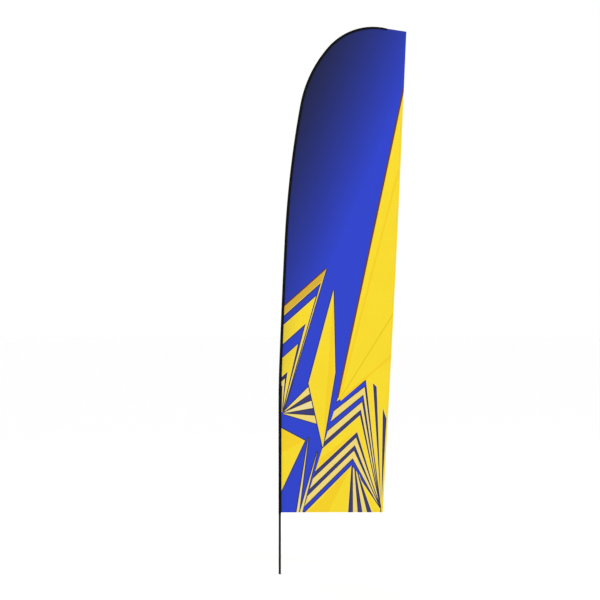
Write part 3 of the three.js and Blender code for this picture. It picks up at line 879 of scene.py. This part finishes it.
def stitches(name, lines, body, material, length=3.6, gap=1.2, width=0.55, sides=6):
    """lines is a list of (points, normals). Each stitch is a short rounded thread lying on the cloth."""
    verts, faces = [], []
    for points, normals in lines:
        places = along_path(points)
        starts = np.arange(gap, places[-1] - length, length + gap)
        for start in starts:
            first = len(verts)
            for share, size in STITCH_RINGS:
                at = start + share * length
                centre = np.array([np.interp(at, places, points[:, k]) for k in range(3)])
                up = np.array([np.interp(at, places, normals[:, k]) for k in range(3)])
                ahead = np.array([np.interp(min(at + 1, places[-1]), places, points[:, k]) for k in range(3)])
                run = ahead - centre if at + 1 <= places[-1] else run
                run = run / np.linalg.norm(run)
                side = np.cross(run, up)
                side /= np.linalg.norm(side)
                up = np.cross(side, run)
                centre = centre + up * (STITCH_LIFT * size * width)
                ring = [0.0] if size == 0 else np.linspace(0, 2 * np.pi, sides, endpoint=False)
                for angle in ring:
                    offset = side * math.cos(angle) + up * math.sin(angle) * STITCH_HEIGHT
                    offset = offset * size * width / 2
                    verts.append(centre + offset)
            faces += stitch_faces(first, sides)
    return make_piece(name, verts, faces, body, material, sharp=180)


def stitch_faces(first, sides):
    faces = []
    rings = len(STITCH_RINGS) - 2
    for c in range(sides):
        after = (c + 1) % sides
        faces.append([first, first + 1 + c, first + 1 + after])
        for r in range(rings - 1):
            low, high = first + 1 + r * sides, first + 1 + (r + 1) * sides
            faces.append([low + c, high + c, high + after, low + after])
        last = first + 1 + (rings - 1) * sides
        faces.append([last + c, first + 1 + rings * sides, last + after])
    return faces


def seam_row(flat_line, depth, side):
    """Points and normals for stitches along a line of flat points, on the front (-1) or back (+1)."""
    height = cloth_height(flat_line)
    points = np.stack([flat_line[:, 0], height + depth, flat_line[:, 1]], 1)
    return points, np.tile([0.0, float(side), 0.0], (len(points), 1))


# ---- Pieces turned about the pole's centreline ----
def shaft(outer, inner, start, end, chamfer=0.4, step=8.0):
    """Outline of a tube with eased ends: outer and inner radii are numbers or functions of s."""
    outside = wall(outer, start + chamfer, end - chamfer, step)
    inside = wall(inner, start + chamfer / 2, end - chamfer / 2, step)[::-1]
    first, last = outside[0], outside[-1]
    ring = [*outside, (last[0] - chamfer * 0.4, end - chamfer * 0.3), (last[0] - chamfer, end),
            (inside[0][0], end), *inside, (inside[-1][0], start),
            (first[0] - chamfer, start), (first[0] - chamfer * 0.4, start + chamfer * 0.3)]
    return [*ring, ring[0]]


def build_foot(kinds):
    """The bush, and the ferrule with its turned grooves."""
    bush = rounded([
        (BUSH_BORE + EDGE, 0), (BASE_OUTER, 0), (BASE_OUTER, FLANGE_THICKNESS),
        (BUSH_BARREL, FLANGE_THICKNESS), (BUSH_BARREL, BUSH_LENGTH - LEAD),
        (BUSH_BARREL - 0.3, BUSH_LENGTH), (BUSH_BORE, BUSH_LENGTH), (BUSH_BORE, EDGE),
        (BUSH_BORE + EDGE, 0)], 0.35)
    lathe("foot_bush_moulded", bush, "foot", kinds["nylon"], 96, replaces=["foot_bush"])

    foot, top = FLANGE_THICKNESS + CLEARANCE, FERRULE_TOP + FERRULE_SPIGOT_REACH
    floor = BASE_OUTER - GROOVE_DEPTH
    grooves = [point for z in FERRULE_GROOVES
               for point in ((BASE_OUTER, z), (floor, z + 0.3), (floor, z + 0.9), (BASE_OUTER, z + 1.2))]
    ferrule = rounded([
        (0, FERRULE_STOP), (BASE_BORE, FERRULE_STOP), (BASE_BORE, foot), (BASE_OUTER - EDGE, foot),
        (BASE_OUTER, foot + 0.7), *grooves, (BASE_OUTER, FERRULE_TOP - 0.6), (BASE_OUTER - EDGE, FERRULE_TOP),
        (BUSH_BARREL, FERRULE_TOP), (BUSH_BARREL, top - LEAD), (BUSH_BARREL - 1, top), (0, top)], 0.25)
    lathe("foot_ferrule_turned", ferrule, "lower_pole", kinds["anodised"], 96,
          replaces=["foot_ferrule"])


def build_sections(material):
    """The three tubes and the tapered rod at the tip."""
    for name, outer, bore, lower, upper in (
            ("second_section", SECOND_OUTER, SECOND_BORE, LOWER_JOINT, MIDDLE_JOINT),
            ("third_section", THIRD_OUTER, THIRD_BORE, MIDDLE_JOINT, UPPER_JOINT)):
        outline = shaft(outer, bore, lower + COLLAR_WIDTH + CLEARANCE, upper - CLEARANCE)
        lathe(name + "_tube", outline, "upper_pole", material, replaces=[name])
    base_section(material)
    start = UPPER_JOINT + COLLAR_WIDTH + CLEARANCE
    tip = rounded([(0, start), (TIP_BUTT, start), *wall(tip_radius, start + 2, TIP_SECTION_END - 1),
                   (TIP_POINT, TIP_SECTION_END), (0, TIP_SECTION_END)], 0.5)
    lathe("tip_rod", tip, "upper_pole", material, 32, replaces=["tip_section"])


def build_spigots(material):
    """The solid spigots of the lower and middle joints, and the socket that holds the tip rod."""
    for name, body, joint, lower_bore, upper_bore, collar, reach in (
            ("lower_spigot", "lower_pole", LOWER_JOINT, BASE_BORE, SECOND_BORE, BASE_OUTER,
             LOWER_SPIGOT_REACH),
            ("middle_spigot", "upper_pole", MIDDLE_JOINT, SECOND_BORE, THIRD_BORE, SECOND_OUTER,
             SPIGOT_REACH)):
        low, high = lower_bore - CLEARANCE, upper_bore - CLEARANCE
        foot, above = joint - SPIGOT_REACH, joint + COLLAR_WIDTH
        top = above + reach
        outline = rounded([
            (0, foot), (low - TAPER, foot), (low, foot + 1.2), *wall(low, foot + 3, joint), (collar, joint),
            (collar, above), *wall(high, above, top - 3), (high, top - 1.2), (high - TAPER, top), (0, top)],
            0.2)
        lathe(name + "_turned", outline, body, material, replaces=[name])

    low, inner = THIRD_BORE - CLEARANCE, TIP_BUTT + CLEARANCE
    outer, foot, above = inner + SOCKET_WALL, UPPER_JOINT - SPIGOT_REACH, UPPER_JOINT + COLLAR_WIDTH
    mouth = above + SOCKET_DEPTH
    socket = rounded([
        (0, foot), (low - TAPER, foot), *wall(low, foot + 1.2, UPPER_JOINT), (THIRD_OUTER, UPPER_JOINT),
        (THIRD_OUTER, above), *wall(outer, above, mouth - 0.3), (outer - 0.3, mouth), (inner + 0.3, mouth),
        *wall(inner, mouth - 0.3, above), (0, above)], 0.2)
    lathe("tip_socket_turned", socket, "upper_pole", material, replaces=["tip_socket"])


def build_tip_covers(kinds):
    """The rubber cap on the tip rod, and the webbing pocket round it in the sleeve's closed end."""
    pocket_end = POLE_LENGTH - END_THICKNESS - CLEARANCE
    cap_end = pocket_end - END_THICKNESS - CLEARANCE
    cap = closed_bag(lambda s: tip_radius(s) + CLEARANCE + CAP_WALL, CAP_WALL,
                     cap_end - TIP_SECTION_END - CLEARANCE, cap_end - CAP_LENGTH, cap_end, 1.2)
    lathe("tip_cap_moulded", cap, "upper_pole", kinds["rubber"], 32, replaces=["tip_cap"])
    pocket = closed_bag(lambda s: sleeve_radius(s) - SLEEVE_WALL - CLEARANCE, POCKET_WALL, END_THICKNESS,
                        pocket_end - POCKET_LENGTH, pocket_end, 1.0)
    lathe("tip_pocket_sewn", pocket, "upper_pole", kinds["webbing"],
          replaces=["tip_pocket"])


def closed_bag(outer, thickness, end_thickness, start, end, soften, step=4.0):
    """Outline of a bag over the pole's end, open at start and closed at end, with its edge softened."""
    inner_end = end - end_thickness
    inside = wall(lambda s: outer(s) - thickness, inner_end - soften / 2, start, step)
    outside = wall(outer, start, end - soften, step)
    edge = outside[-1][0]
    turns = [(edge - soften * (1 - math.cos(t)), end - soften * (1 - math.sin(t)))
             for t in np.linspace(0, math.pi / 2, 6)[1:]]
    return [(0, inner_end), (inside[0][0] - soften / 2, inner_end), *inside, *outside, *turns, (0, end)]


def base_section(material):
    """The bottom tube, with the peg's round hole drilled through its back wall."""
    outline = shaft(BASE_OUTER, BASE_BORE, FERRULE_TOP + CLEARANCE, LOWER_JOINT - CLEARANCE, step=24)
    tube = lathe("base_section_tube", outline, "", material, 96)
    drill = bpy.data.meshes.new("drill")
    work = bmesh.new()
    radius = (PEG_SHANK + CLEARANCE) * MM
    bmesh.ops.create_cone(work, cap_ends=True, segments=48, radius1=radius, radius2=radius,
                          depth=BASE_OUTER * MM)
    bmesh.ops.rotate(work, verts=work.verts, matrix=Matrix.Rotation(math.pi / 2, 3, "X"))
    bmesh.ops.translate(work, verts=work.verts, vec=(0, BASE_OUTER * MM, PEG_Z * MM))
    work.to_mesh(drill)
    work.free()
    cutter = linked("drill", drill)
    cut = tube.modifiers.new("hole", "BOOLEAN")
    cut.operation = "DIFFERENCE"
    cut.solver = "EXACT"
    cut.object = cutter
    apply_modifiers(tube)
    bpy.data.objects.remove(cutter)
    tube.data.set_sharp_from_angle(angle=math.radians(40))
    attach(tube, "lower_pole")
    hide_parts("base_section")


def apply_modifiers(piece):
    shape = piece.evaluated_get(bpy.context.evaluated_depsgraph_get())
    mesh = bpy.data.meshes.new_from_object(shape)
    piece.modifiers.clear()
    piece.data = mesh


# ---- Sleeve ----
def pucker(s, turn):
    """Small gathers in the sleeve's cloth, stronger where the pole bends hardest."""
    short, long, middling = (2 * np.pi * s / pitch for pitch in PUCKER_PITCHES)
    waves = np.sin(short + 1.7 * np.sin(s / 190) + 0.8 * np.sin(turn))
    long_waves = np.sin(long + turn) + 0.6 * np.sin(middling + 2 * turn)
    seam_side = 0.5 + 0.5 * np.cos(turn)
    bend = 0.6 + 1.1 * smoothstep(s, *PUCKER_BEND)
    fade = (smoothstep(s, FLAG_BOTTOM, FLAG_BOTTOM + PUCKER_FADE)
            * (1 - smoothstep(s, POLE_LENGTH - PUCKER_FADE, POLE_LENGTH)))
    return PUCKER * fade * bend * (waves * seam_side + 0.4 * long_waves - 0.5)


def build_sleeve(kinds):
    outline = closed_bag(sleeve_radius, SLEEVE_WALL, END_THICKNESS, FLAG_BOTTOM, POLE_LENGTH, 1.6)
    sleeve = lathe("pole_sleeve_sewn", outline, "upper_pole", kinds["sleeve"], 48, pucker,
                   replaces=["pole_sleeve"])
    inner, outer = SLEEVE_LOW - SLEEVE_WALL, SLEEVE_LOW + 0.1
    low, high = FLAG_BOTTOM - BINDING_HEIGHT, FLAG_BOTTOM - CLEARANCE
    binding = rounded([(inner, high), (inner, low), (outer, low - CLEARANCE),
                       (SLEEVE_LOW + BINDING_BULGE, BINDING_SEAM), (outer, high), (inner, high)], 0.3)
    lathe("mouth_binding_sewn", binding, "upper_pole", kinds["webbing"], 64,
          replaces=["mouth_binding"])
    turn = np.linspace(0, 2 * np.pi, 121)
    normals = np.stack([np.cos(turn), np.sin(turn), 0 * turn], 1)
    ring = normals * (SLEEVE_LOW + 0.2) + np.array([0, 0, BINDING_SEAM])
    stitches("mouth_stitches", [(ring, normals)], "upper_pole", kinds["thread"],
             length=2.4, gap=0.9, width=0.45)
    lips = [band(f"luff_seam_{name}", seam_lip(side, width), "upper_pole", kinds["sleeve"])
            for name, side, width in (("front", -1, SEAM_FRONT), ("back", 1, SEAM_BACK))]
    return sleeve, lips


def seam_lip(side, width):
    """The sleeve's raw edge lying on one face of the panel: a thin strip from the sleeve's wall outwards."""
    places = np.arange(FLAG_BOTTOM + 0.5, POLE_LENGTH - 1, 5.0)
    centre, _, inward = pole_at(places)
    radius = sleeve_radius(places)
    taper_start, taper_end = (POLE_LENGTH - gap for gap in SEAM_TAPER)
    width = SEAM_END + (width - SEAM_END) * (1 - smoothstep(places, taper_start, taper_end))
    root = math.radians(SEAM_ROOT)
    lying = CLOTH_THICKNESS / 2 + CLOTH_GAP + SEAM_CLOTH
    steps = [(radius * math.cos(root), radius * math.sin(root)), (radius + 0.5, 0.75),
             (radius + CLEARANCE + width * 0.5, lying), (radius + CLEARANCE + width, lying)]
    top, under = [], []
    for reach, rise in steps:
        flat = (centre + inward * reach[:, None])[:, [0, 2]]
        height = cloth_height(flat) * smoothstep(reach - radius, 0, 2)
        top.append(np.stack([flat[:, 0], height + side * rise, flat[:, 1]], 1))
        under.append(np.stack([flat[:, 0], height + side * (rise - SEAM_CLOTH), flat[:, 1]], 1))
    return np.stack(top + under[::-1], 1)


# ---- Panel ----
def build_panel(kinds, flat):
    half = CLOTH_THICKNESS / 2
    every = np.ones(len(flat["faces"]), bool)
    panel = cloth_layer("flag_cloth", flat, every, -half, half, kinds["print"],
                        replaces=["flag_panel"])
    second = half + CLOTH_GAP
    hem = cloth_layer("edge_hem", flat, flat["masks"]["hem"], second, second + CLOTH_THICKNESS,
                      kinds["print"])
    third = second + CLOTH_THICKNESS + CLOTH_GAP
    patch = cloth_layer("corner_patch_sewn", flat, flat["masks"]["patch"], third, third + CLOTH_THICKNESS,
                        kinds["sleeve"], replaces=["corner_patch"])
    rows = []
    for line in flat["hem_seams"]:
        rows.append(seam_row(line, -half, -1))
        rows.append(seam_row(line, second + CLOTH_THICKNESS, 1))
    hem_threads = stitches("hem_stitches", rows, "upper_pole", kinds["blue_thread"])
    lift = half + CLOTH_GAP + SEAM_CLOTH
    rows = [seam_row(line, side * lift, side) for side, line in flat["luff_seams"]]
    luff_threads = stitches("luff_stitches", rows, "upper_pole", kinds["thread"])
    rows = [seam_row(resampled(line, 2.0), third + CLOTH_THICKNESS, 1) for line in flat["patch_seams"]]
    patch_threads = stitches("patch_stitches", rows, "upper_pole", kinds["thread"],
                             length=3.0)
    return panel, [hem, patch, hem_threads, luff_threads, patch_threads]


# ---- Tensioner ----
def strap_eye(place, from_above):
    """Points (y, z) of a strap's centreline round a bar, from one of its legs to the other. The legs come
    from above the bar or from below it."""
    radius, half = EYE_INNER + WEB_THICKNESS / 2, WEB_THICKNESS / 2 + STRAP_GAP
    lean = math.asin(half / radius)
    angles = np.linspace(math.pi / 2 - lean, -math.pi * 1.5 + lean, EYE_STEPS)
    if not from_above:
        angles = np.linspace(math.pi * 1.5 - lean, -math.pi / 2 + lean, EYE_STEPS)
    return [(radius * math.cos(a), place + radius * math.sin(a)) for a in angles]


def eased(path, closed):
    """The path with its corners softened; an open path keeps its ends."""
    for _ in range(EASE_ROUNDS):
        smooth = path * 0.5 + (np.roll(path, 1, axis=0) + np.roll(path, -1, axis=0)) * 0.25
        if not closed:
            smooth[[0, -1]] = path[[0, -1]]
        path = smooth
    return path


def strap_loop(bottom, top):
    """The closed centreline (y, z) of a strap folded round bars at its bottom and top."""
    half, reach = WEB_THICKNESS / 2 + STRAP_GAP, EYE_INNER + WEB_THICKNESS / 2 + LEG_START
    rise = np.arange(bottom + reach, top - reach, 1.0)
    left, right = [(-half, z) for z in rise], [(half, z) for z in rise[::-1]]
    return eased(np.array(strap_eye(bottom, True) + left + strap_eye(top, False) + right), True)


def path_normals(path, closed):
    """Unit vectors square to a path of pairs, at each of its points."""
    run = np.roll(path, -1, axis=0) - np.roll(path, 1, axis=0) if closed else np.gradient(path, axis=0)
    run = run / np.linalg.norm(run, axis=1)[:, None]
    return np.stack([run[:, 1], -run[:, 0]], 1)


def strap_sections(path, closed, ribs, rib_pitch, curve=None):
    """Cross-sections of a flat strap along a path in the Y-Z plane. Its edges are rounded, and curve(z, x)
    says how far each point lies in towards the sleeve."""
    sections = []
    half, edge = STRAP_WIDTH / 2, WEB_THICKNESS / 2
    for point, out, at in zip(path, path_normals(path, closed), along_path(path)):
        swell = 1 + ribs * math.sin(2 * math.pi * at / rib_pitch)
        around = [(x, edge * swell * side) for side in (1, -1) for x in
                  (np.linspace(-1, 1, 9) * (half - edge) * side)]
        around.insert(9, (half, 0))
        around.append((-half, 0))
        loop = []
        for x, lift in around:
            dip = curve(point[1], x) if curve else 0.0
            loop.append((x, STRAP_Y + point[0] + out[0] * lift - dip, point[1] + out[1] * lift))
        sections.append(loop)
    return np.array(sections)


def build_tensioner(kinds):
    low, high = PLATE_BAR_Z, RING_Z - RING_BAR
    loop = strap_sections(strap_loop(low, high), True, ribs=0.08, rib_pitch=2.2)
    elastic = band("tension_elastic_sewn", loop, "", kinds["elastic"], closed_path=True,
                   replaces=["tension_elastic"])
    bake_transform(elastic)
    band("tension_tab_sewn", tab_sections(), "upper_pole", kinds["webbing"],
         replaces=["tension_tab"])
    stitches("tab_stitches", tab_rows(), "upper_pole", kinds["thread"], length=2.0, gap=0.6,
             width=0.4)
    wire_ring(kinds["steel"])
    anchor_plate(kinds["nylon"])
    peg_pieces(kinds)


def tab_face(x, z):
    """The y of the tab's outer face, which lies in to the round sleeve towards its top."""
    tuck = smoothstep(z, *TAB_LEAN)
    round_sleeve = SLEEVE_LOW - np.sqrt(SLEEVE_LOW**2 - np.asarray(x, float) ** 2)
    free = STRAP_Y + WEB_THICKNESS
    flat = SLEEVE_LOW + 0.1 + 2 * WEB_THICKNESS
    return free + (flat - free) * tuck - round_sleeve * 0.9 * tuck


def tab_rows():
    """Points and normals of the tab's stitching: a box, a cross inside it, and a tack above the ring."""
    rows = []
    z = np.arange(TAB_SEAM_LOW, TAB_SEAM_HIGH, 1.0)
    x = np.linspace(-TAB_SEAM_HALF, TAB_SEAM_HALF, 12)
    rows += [(np.full(len(z), side), z) for side in (-TAB_SEAM_HALF, TAB_SEAM_HALF)]
    rows += [(x, np.full(len(x), height)) for height in (TAB_SEAM_LOW, TAB_SEAM_HIGH)]
    z = np.arange(TAB_SEAM_LOW, TAB_SEAM_HIGH, 0.8)
    cross = ((z - z[0]) / (z[-1] - z[0]) * 2 - 1) * TAB_SEAM_HALF
    rows += [(cross, z), (-cross, z)]
    x = np.linspace(-TAB_TACK_HALF, TAB_TACK_HALF, 14)
    rows.append((x, np.full(len(x), TAB_TACK_Z)))
    return [(np.stack([x, tab_face(x, z), z], 1), np.tile([0.0, 1.0, 0.0], (len(x), 1))) for x, z in rows]


def tab_sections():
    """A strap folded up round the ring's upper bar, both layers then lying in to the sleeve."""
    bottom = RING_Z + RING_BAR
    half = WEB_THICKNESS / 2 + STRAP_GAP
    rise = np.arange(bottom + EYE_INNER + WEB_THICKNESS / 2 + LEG_START, TAB_TOP, 1.0)
    path = np.array([(half, z) for z in rise[::-1]] + strap_eye(bottom, True) + [(-half, z) for z in rise])

    def lean_in(z, x):
        return STRAP_Y + WEB_THICKNESS - float(tab_face(x, z))

    return strap_sections(eased(path, False), False, ribs=0.03, rib_pitch=1.6, curve=lean_in)


def wire_ring(material):
    sides, corner_steps = 20, 10
    path = []
    for k, (sx, sz) in enumerate([(1, 1), (-1, 1), (-1, -1), (1, -1)]):
        for a in np.linspace(k, k + 1, corner_steps) * math.pi / 2:
            path.append((sx * RING_SPREAD + RING_CORNER * math.cos(a),
                         sz * RING_RISE + RING_CORNER * math.sin(a)))
    path = np.array(path)
    turn = np.linspace(0, 2 * np.pi, sides, endpoint=False)
    sections = [[(x + out_x * RING_WIRE * math.cos(t), STRAP_Y + RING_WIRE * math.sin(t),
                  RING_Z + z + out_z * RING_WIRE * math.cos(t)) for t in turn]
                for (x, z), (out_x, out_z) in zip(path, path_normals(path, True))]
    band("tension_ring_wire", sections, "upper_pole", material, closed_path=True,
         replaces=["tension_ring"])


def arc(x, z, radius, start, end, steps):
    """Points on an arc; start and end are in degrees."""
    return [(x + radius * math.cos(a), z + radius * math.sin(a))
            for a in np.radians(np.linspace(start, end, steps))]


def anchor_plate(material):
    """A flat moulded link: rounded outline, slot for the elastic, eye for the peg, eased edges."""
    ease = PLATE_EASE
    side, top = PLATE_HALF_WIDTH - ease, PLATE_BAR_Z + PLATE_BAR / 2 - ease
    corner = PLATE_CORNER - ease
    outline = [*arc(-side + corner, top - corner, corner, 90, 180, 25), *arc(0, PEG_Z, side, 180, 360, 25),
               *arc(side - corner, top - corner, corner, 0, 90, 25)]
    slot_side = STRAP_WIDTH / 2 + CLEARANCE + ease - SLOT_CORNER
    slot_top = PLATE_BAR_Z - PLATE_BAR / 2 + ease - SLOT_CORNER
    slot_low = slot_top - PLATE_SLOT - 2 * ease + 2 * SLOT_CORNER
    slot = [*arc(slot_side, slot_top, SLOT_CORNER, 0, 90, 7),
            *arc(-slot_side, slot_top, SLOT_CORNER, 90, 180, 7),
            *arc(-slot_side, slot_low, SLOT_CORNER, 180, 270, 7),
            *arc(slot_side, slot_low, SLOT_CORNER, 270, 360, 7)]
    eye = arc(0, PEG_Z, PEG_SHANK + CLEARANCE + ease, 0, 360, 49)[:-1]
    curve = bpy.data.curves.new("anchor_plate", "CURVE")
    curve.dimensions = "2D"
    curve.fill_mode = "BOTH"
    curve.extrude = (PLATE_THICKNESS / 2 - ease) * MM
    curve.bevel_depth = ease * MM
    curve.bevel_resolution = 3
    for loop in (outline, slot, eye):
        spline = curve.splines.new("POLY")
        spline.points.add(len(loop) - 1)
        spline.use_cyclic_u = True
        for point, (x, z) in zip(spline.points, loop):
            point.co = (x * MM, z * MM, 0, 1)
    shape = linked("anchor_plate_curve", curve)
    mesh = bpy.data.meshes.new_from_object(shape.evaluated_get(bpy.context.evaluated_depsgraph_get()))
    bpy.data.objects.remove(shape)
    mesh.transform(Matrix.Translation((0, STRAP_Y * MM, 0)) @ Matrix.Rotation(math.pi / 2, 4, "X"))
    tidy_mesh(mesh)
    place_piece("anchor_plate_moulded", mesh, "lower_pole", material,
                replaces=["anchor_plate"])


def spin_about_peg(name, outline, material, replaces):
    """Turns an outline of (radius, y) about the peg's own axis."""
    outline = np.array(outline, float)
    on_axis = outline[0, 0] == 0
    if not on_axis:
        outline = outline[:-1]
    sides = 48
    turn = np.linspace(0, 2 * np.pi, sides, endpoint=False)[None, :]
    radius, y = outline[:, :1], outline[:, 1:]
    points = np.stack([radius * np.cos(turn), y + 0 * turn, PEG_Z + radius * np.sin(turn)], 2)
    faces, corners = grid_faces(len(outline), sides, not on_axis, True)
    make_piece(name, points.reshape(-1, 3), faces, "lower_pole", material, replaces=replaces)


def peg_pieces(kinds):
    plate_back, plate_front = STRAP_Y + PLATE_THICKNESS / 2, STRAP_Y - PLATE_THICKNESS / 2
    head = plate_back + CLEARANCE
    dome = [(PEG_HEAD * math.cos(a), head + PEG_HEAD_RIM + (PEG_HEAD_THICKNESS - PEG_HEAD_RIM) * math.sin(a))
            for a in np.linspace(0, math.pi / 2, 12)[:-3]]
    dimple = [(PEG_HEAD * 0.25, head + PEG_HEAD_THICKNESS - 0.15), (0, head + PEG_HEAD_THICKNESS - 0.25)]
    outline = [(0, PEG_TAIL_BACK), (PEG_TAIL - 0.2, PEG_TAIL_BACK), (PEG_TAIL, PEG_TAIL_BACK + 0.2),
               (PEG_TAIL, PEG_TAIL_FRONT - 0.1), (PEG_TAIL - 0.1, PEG_TAIL_FRONT),
               (PEG_SHANK, PEG_TAIL_FRONT), (PEG_SHANK, head), (PEG_HEAD - 0.15, head),
               (PEG_HEAD, head + 0.15), *dome, *dimple]
    spin_about_peg("pole_peg_rivet", outline, kinds["steel"], ["pole_peg"])
    bore, back, front = PEG_SHANK + CLEARANCE, plate_front - CLEARANCE, BASE_OUTER + CLEARANCE
    outline = rounded([(bore + 0.1, front), (WASHER_OUTER, front), (WASHER_OUTER, back), (bore, back),
                       (bore, front + 0.1), (bore + 0.1, front)], 0.25)
    outline.append(outline[0])
    spin_about_peg("peg_washer_moulded", outline, kinds["nylon"], ["peg_washer"])


# ---- Stage ----
def build_stage():
    bpy.context.scene.view_settings.view_transform = "Standard"
    world = bpy.data.worlds.new("studio")
    bpy.context.scene.world = world
    world.use_nodes = True
    background = world.node_tree.nodes["Background"]
    background.inputs["Color"].default_value = (1, 1, 1, 1)
    background.inputs["Strength"].default_value = WORLD_STRENGTH

    mesh = bpy.data.meshes.new("floor")
    corners = [(x * FLOOR_HALF, y * FLOOR_HALF, FLOOR_Z) for x, y in ((-1, -1), (1, -1), (1, 1), (-1, 1))]
    mesh.from_pydata(corners, [], [(0, 1, 2, 3)])
    floor = linked("floor", mesh)
    made, tree, shader = start_material("pale_floor", 0.9)
    grain = noise(tree, coordinates(tree, "Object"), 3, 4)
    tree.links.new(tint(tree, grain, (253, 253, 253), (255, 255, 255)), shader.inputs["Base Color"])
    mesh.materials.append(made)

    for name, place, target, size, power in LAMPS:
        lamp = bpy.data.lights.new(name, "AREA")
        lamp.shape = "SQUARE"
        lamp.size = size
        lamp.energy = power
        holder = linked(name, lamp)
        holder.location = place
        holder.rotation_euler = (Vector(target) - Vector(place)).to_track_quat("-Z", "Y").to_euler()

    camera = bpy.data.cameras.new("camera")
    camera.lens = CAMERA_LENS
    camera.sensor_width = CAMERA_SENSOR
    camera.clip_end = CAMERA_REACH
    holder = linked("camera", camera)
    holder.location = CAMERA_PLACE
    holder.rotation_euler = (math.pi / 2, 0, 0)
    bpy.context.scene.camera = holder


# ---- The whole flag ----
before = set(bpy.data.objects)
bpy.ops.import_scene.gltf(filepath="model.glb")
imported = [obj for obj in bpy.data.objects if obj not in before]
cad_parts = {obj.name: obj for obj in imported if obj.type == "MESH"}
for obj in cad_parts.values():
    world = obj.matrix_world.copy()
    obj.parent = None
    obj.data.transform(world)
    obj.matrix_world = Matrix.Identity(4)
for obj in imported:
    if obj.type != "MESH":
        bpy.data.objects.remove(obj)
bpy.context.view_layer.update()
build_stage()
materials = {
    "print": print_material(),
    "sleeve": cloth_material("sleeve_twill", (6, 6, 8), (24, 24, 27), threads=1500, roughness=0.82,
                             depth=0.00015, skew=math.radians(35)),
    "webbing": cloth_material("webbing", (8, 8, 9), (32, 32, 35), threads=900, roughness=0.75, depth=0.0003),
    "elastic": elastic_material(),
    "thread": hard_material("black_thread", (16, 16, 18), (42, 42, 46), roughness=0.7, scale=2500),
    "blue_thread": hard_material("blue_thread", (38, 52, 150), (66, 84, 205), roughness=0.65, scale=2500),
    "glass_fibre": hard_material("lacquered_glass_fibre", (4, 4, 6), (30, 30, 34), roughness=0.45,
                                 specular=0.15, stretch=(1, 1, 0.04), scale=900),
    "nylon": hard_material("moulded_nylon", (10, 10, 12), (34, 34, 38), roughness=0.5, specular=0.3,
                           scale=420),
    "rubber": hard_material("moulded_rubber", (16, 16, 17), (30, 30, 31), roughness=0.85, specular=0.3,
                            scale=600, depth=5e-5),
    "anodised": turned_material("anodised_aluminium", (5, 5, 7), (26, 26, 30), roughness=0.4, metallic=0.1,
                                specular=0.15),
    "aluminium": turned_material("turned_aluminium", (168, 170, 173), (206, 208, 211), roughness=0.32,
                                 metallic=1.0),
    "steel": hard_material("bright_steel_wire", (150, 152, 156), (205, 206, 210), roughness=0.26,
                           metallic=1.0, scale=700),
}
flat = flat_cloth()
build_foot(materials)
build_sections(materials["glass_fibre"])
build_spigots(materials["aluminium"])
build_tip_covers(materials)
sleeve, lips = build_sleeve(materials)
panel, trim = build_panel(materials, flat)
build_tensioner(materials)
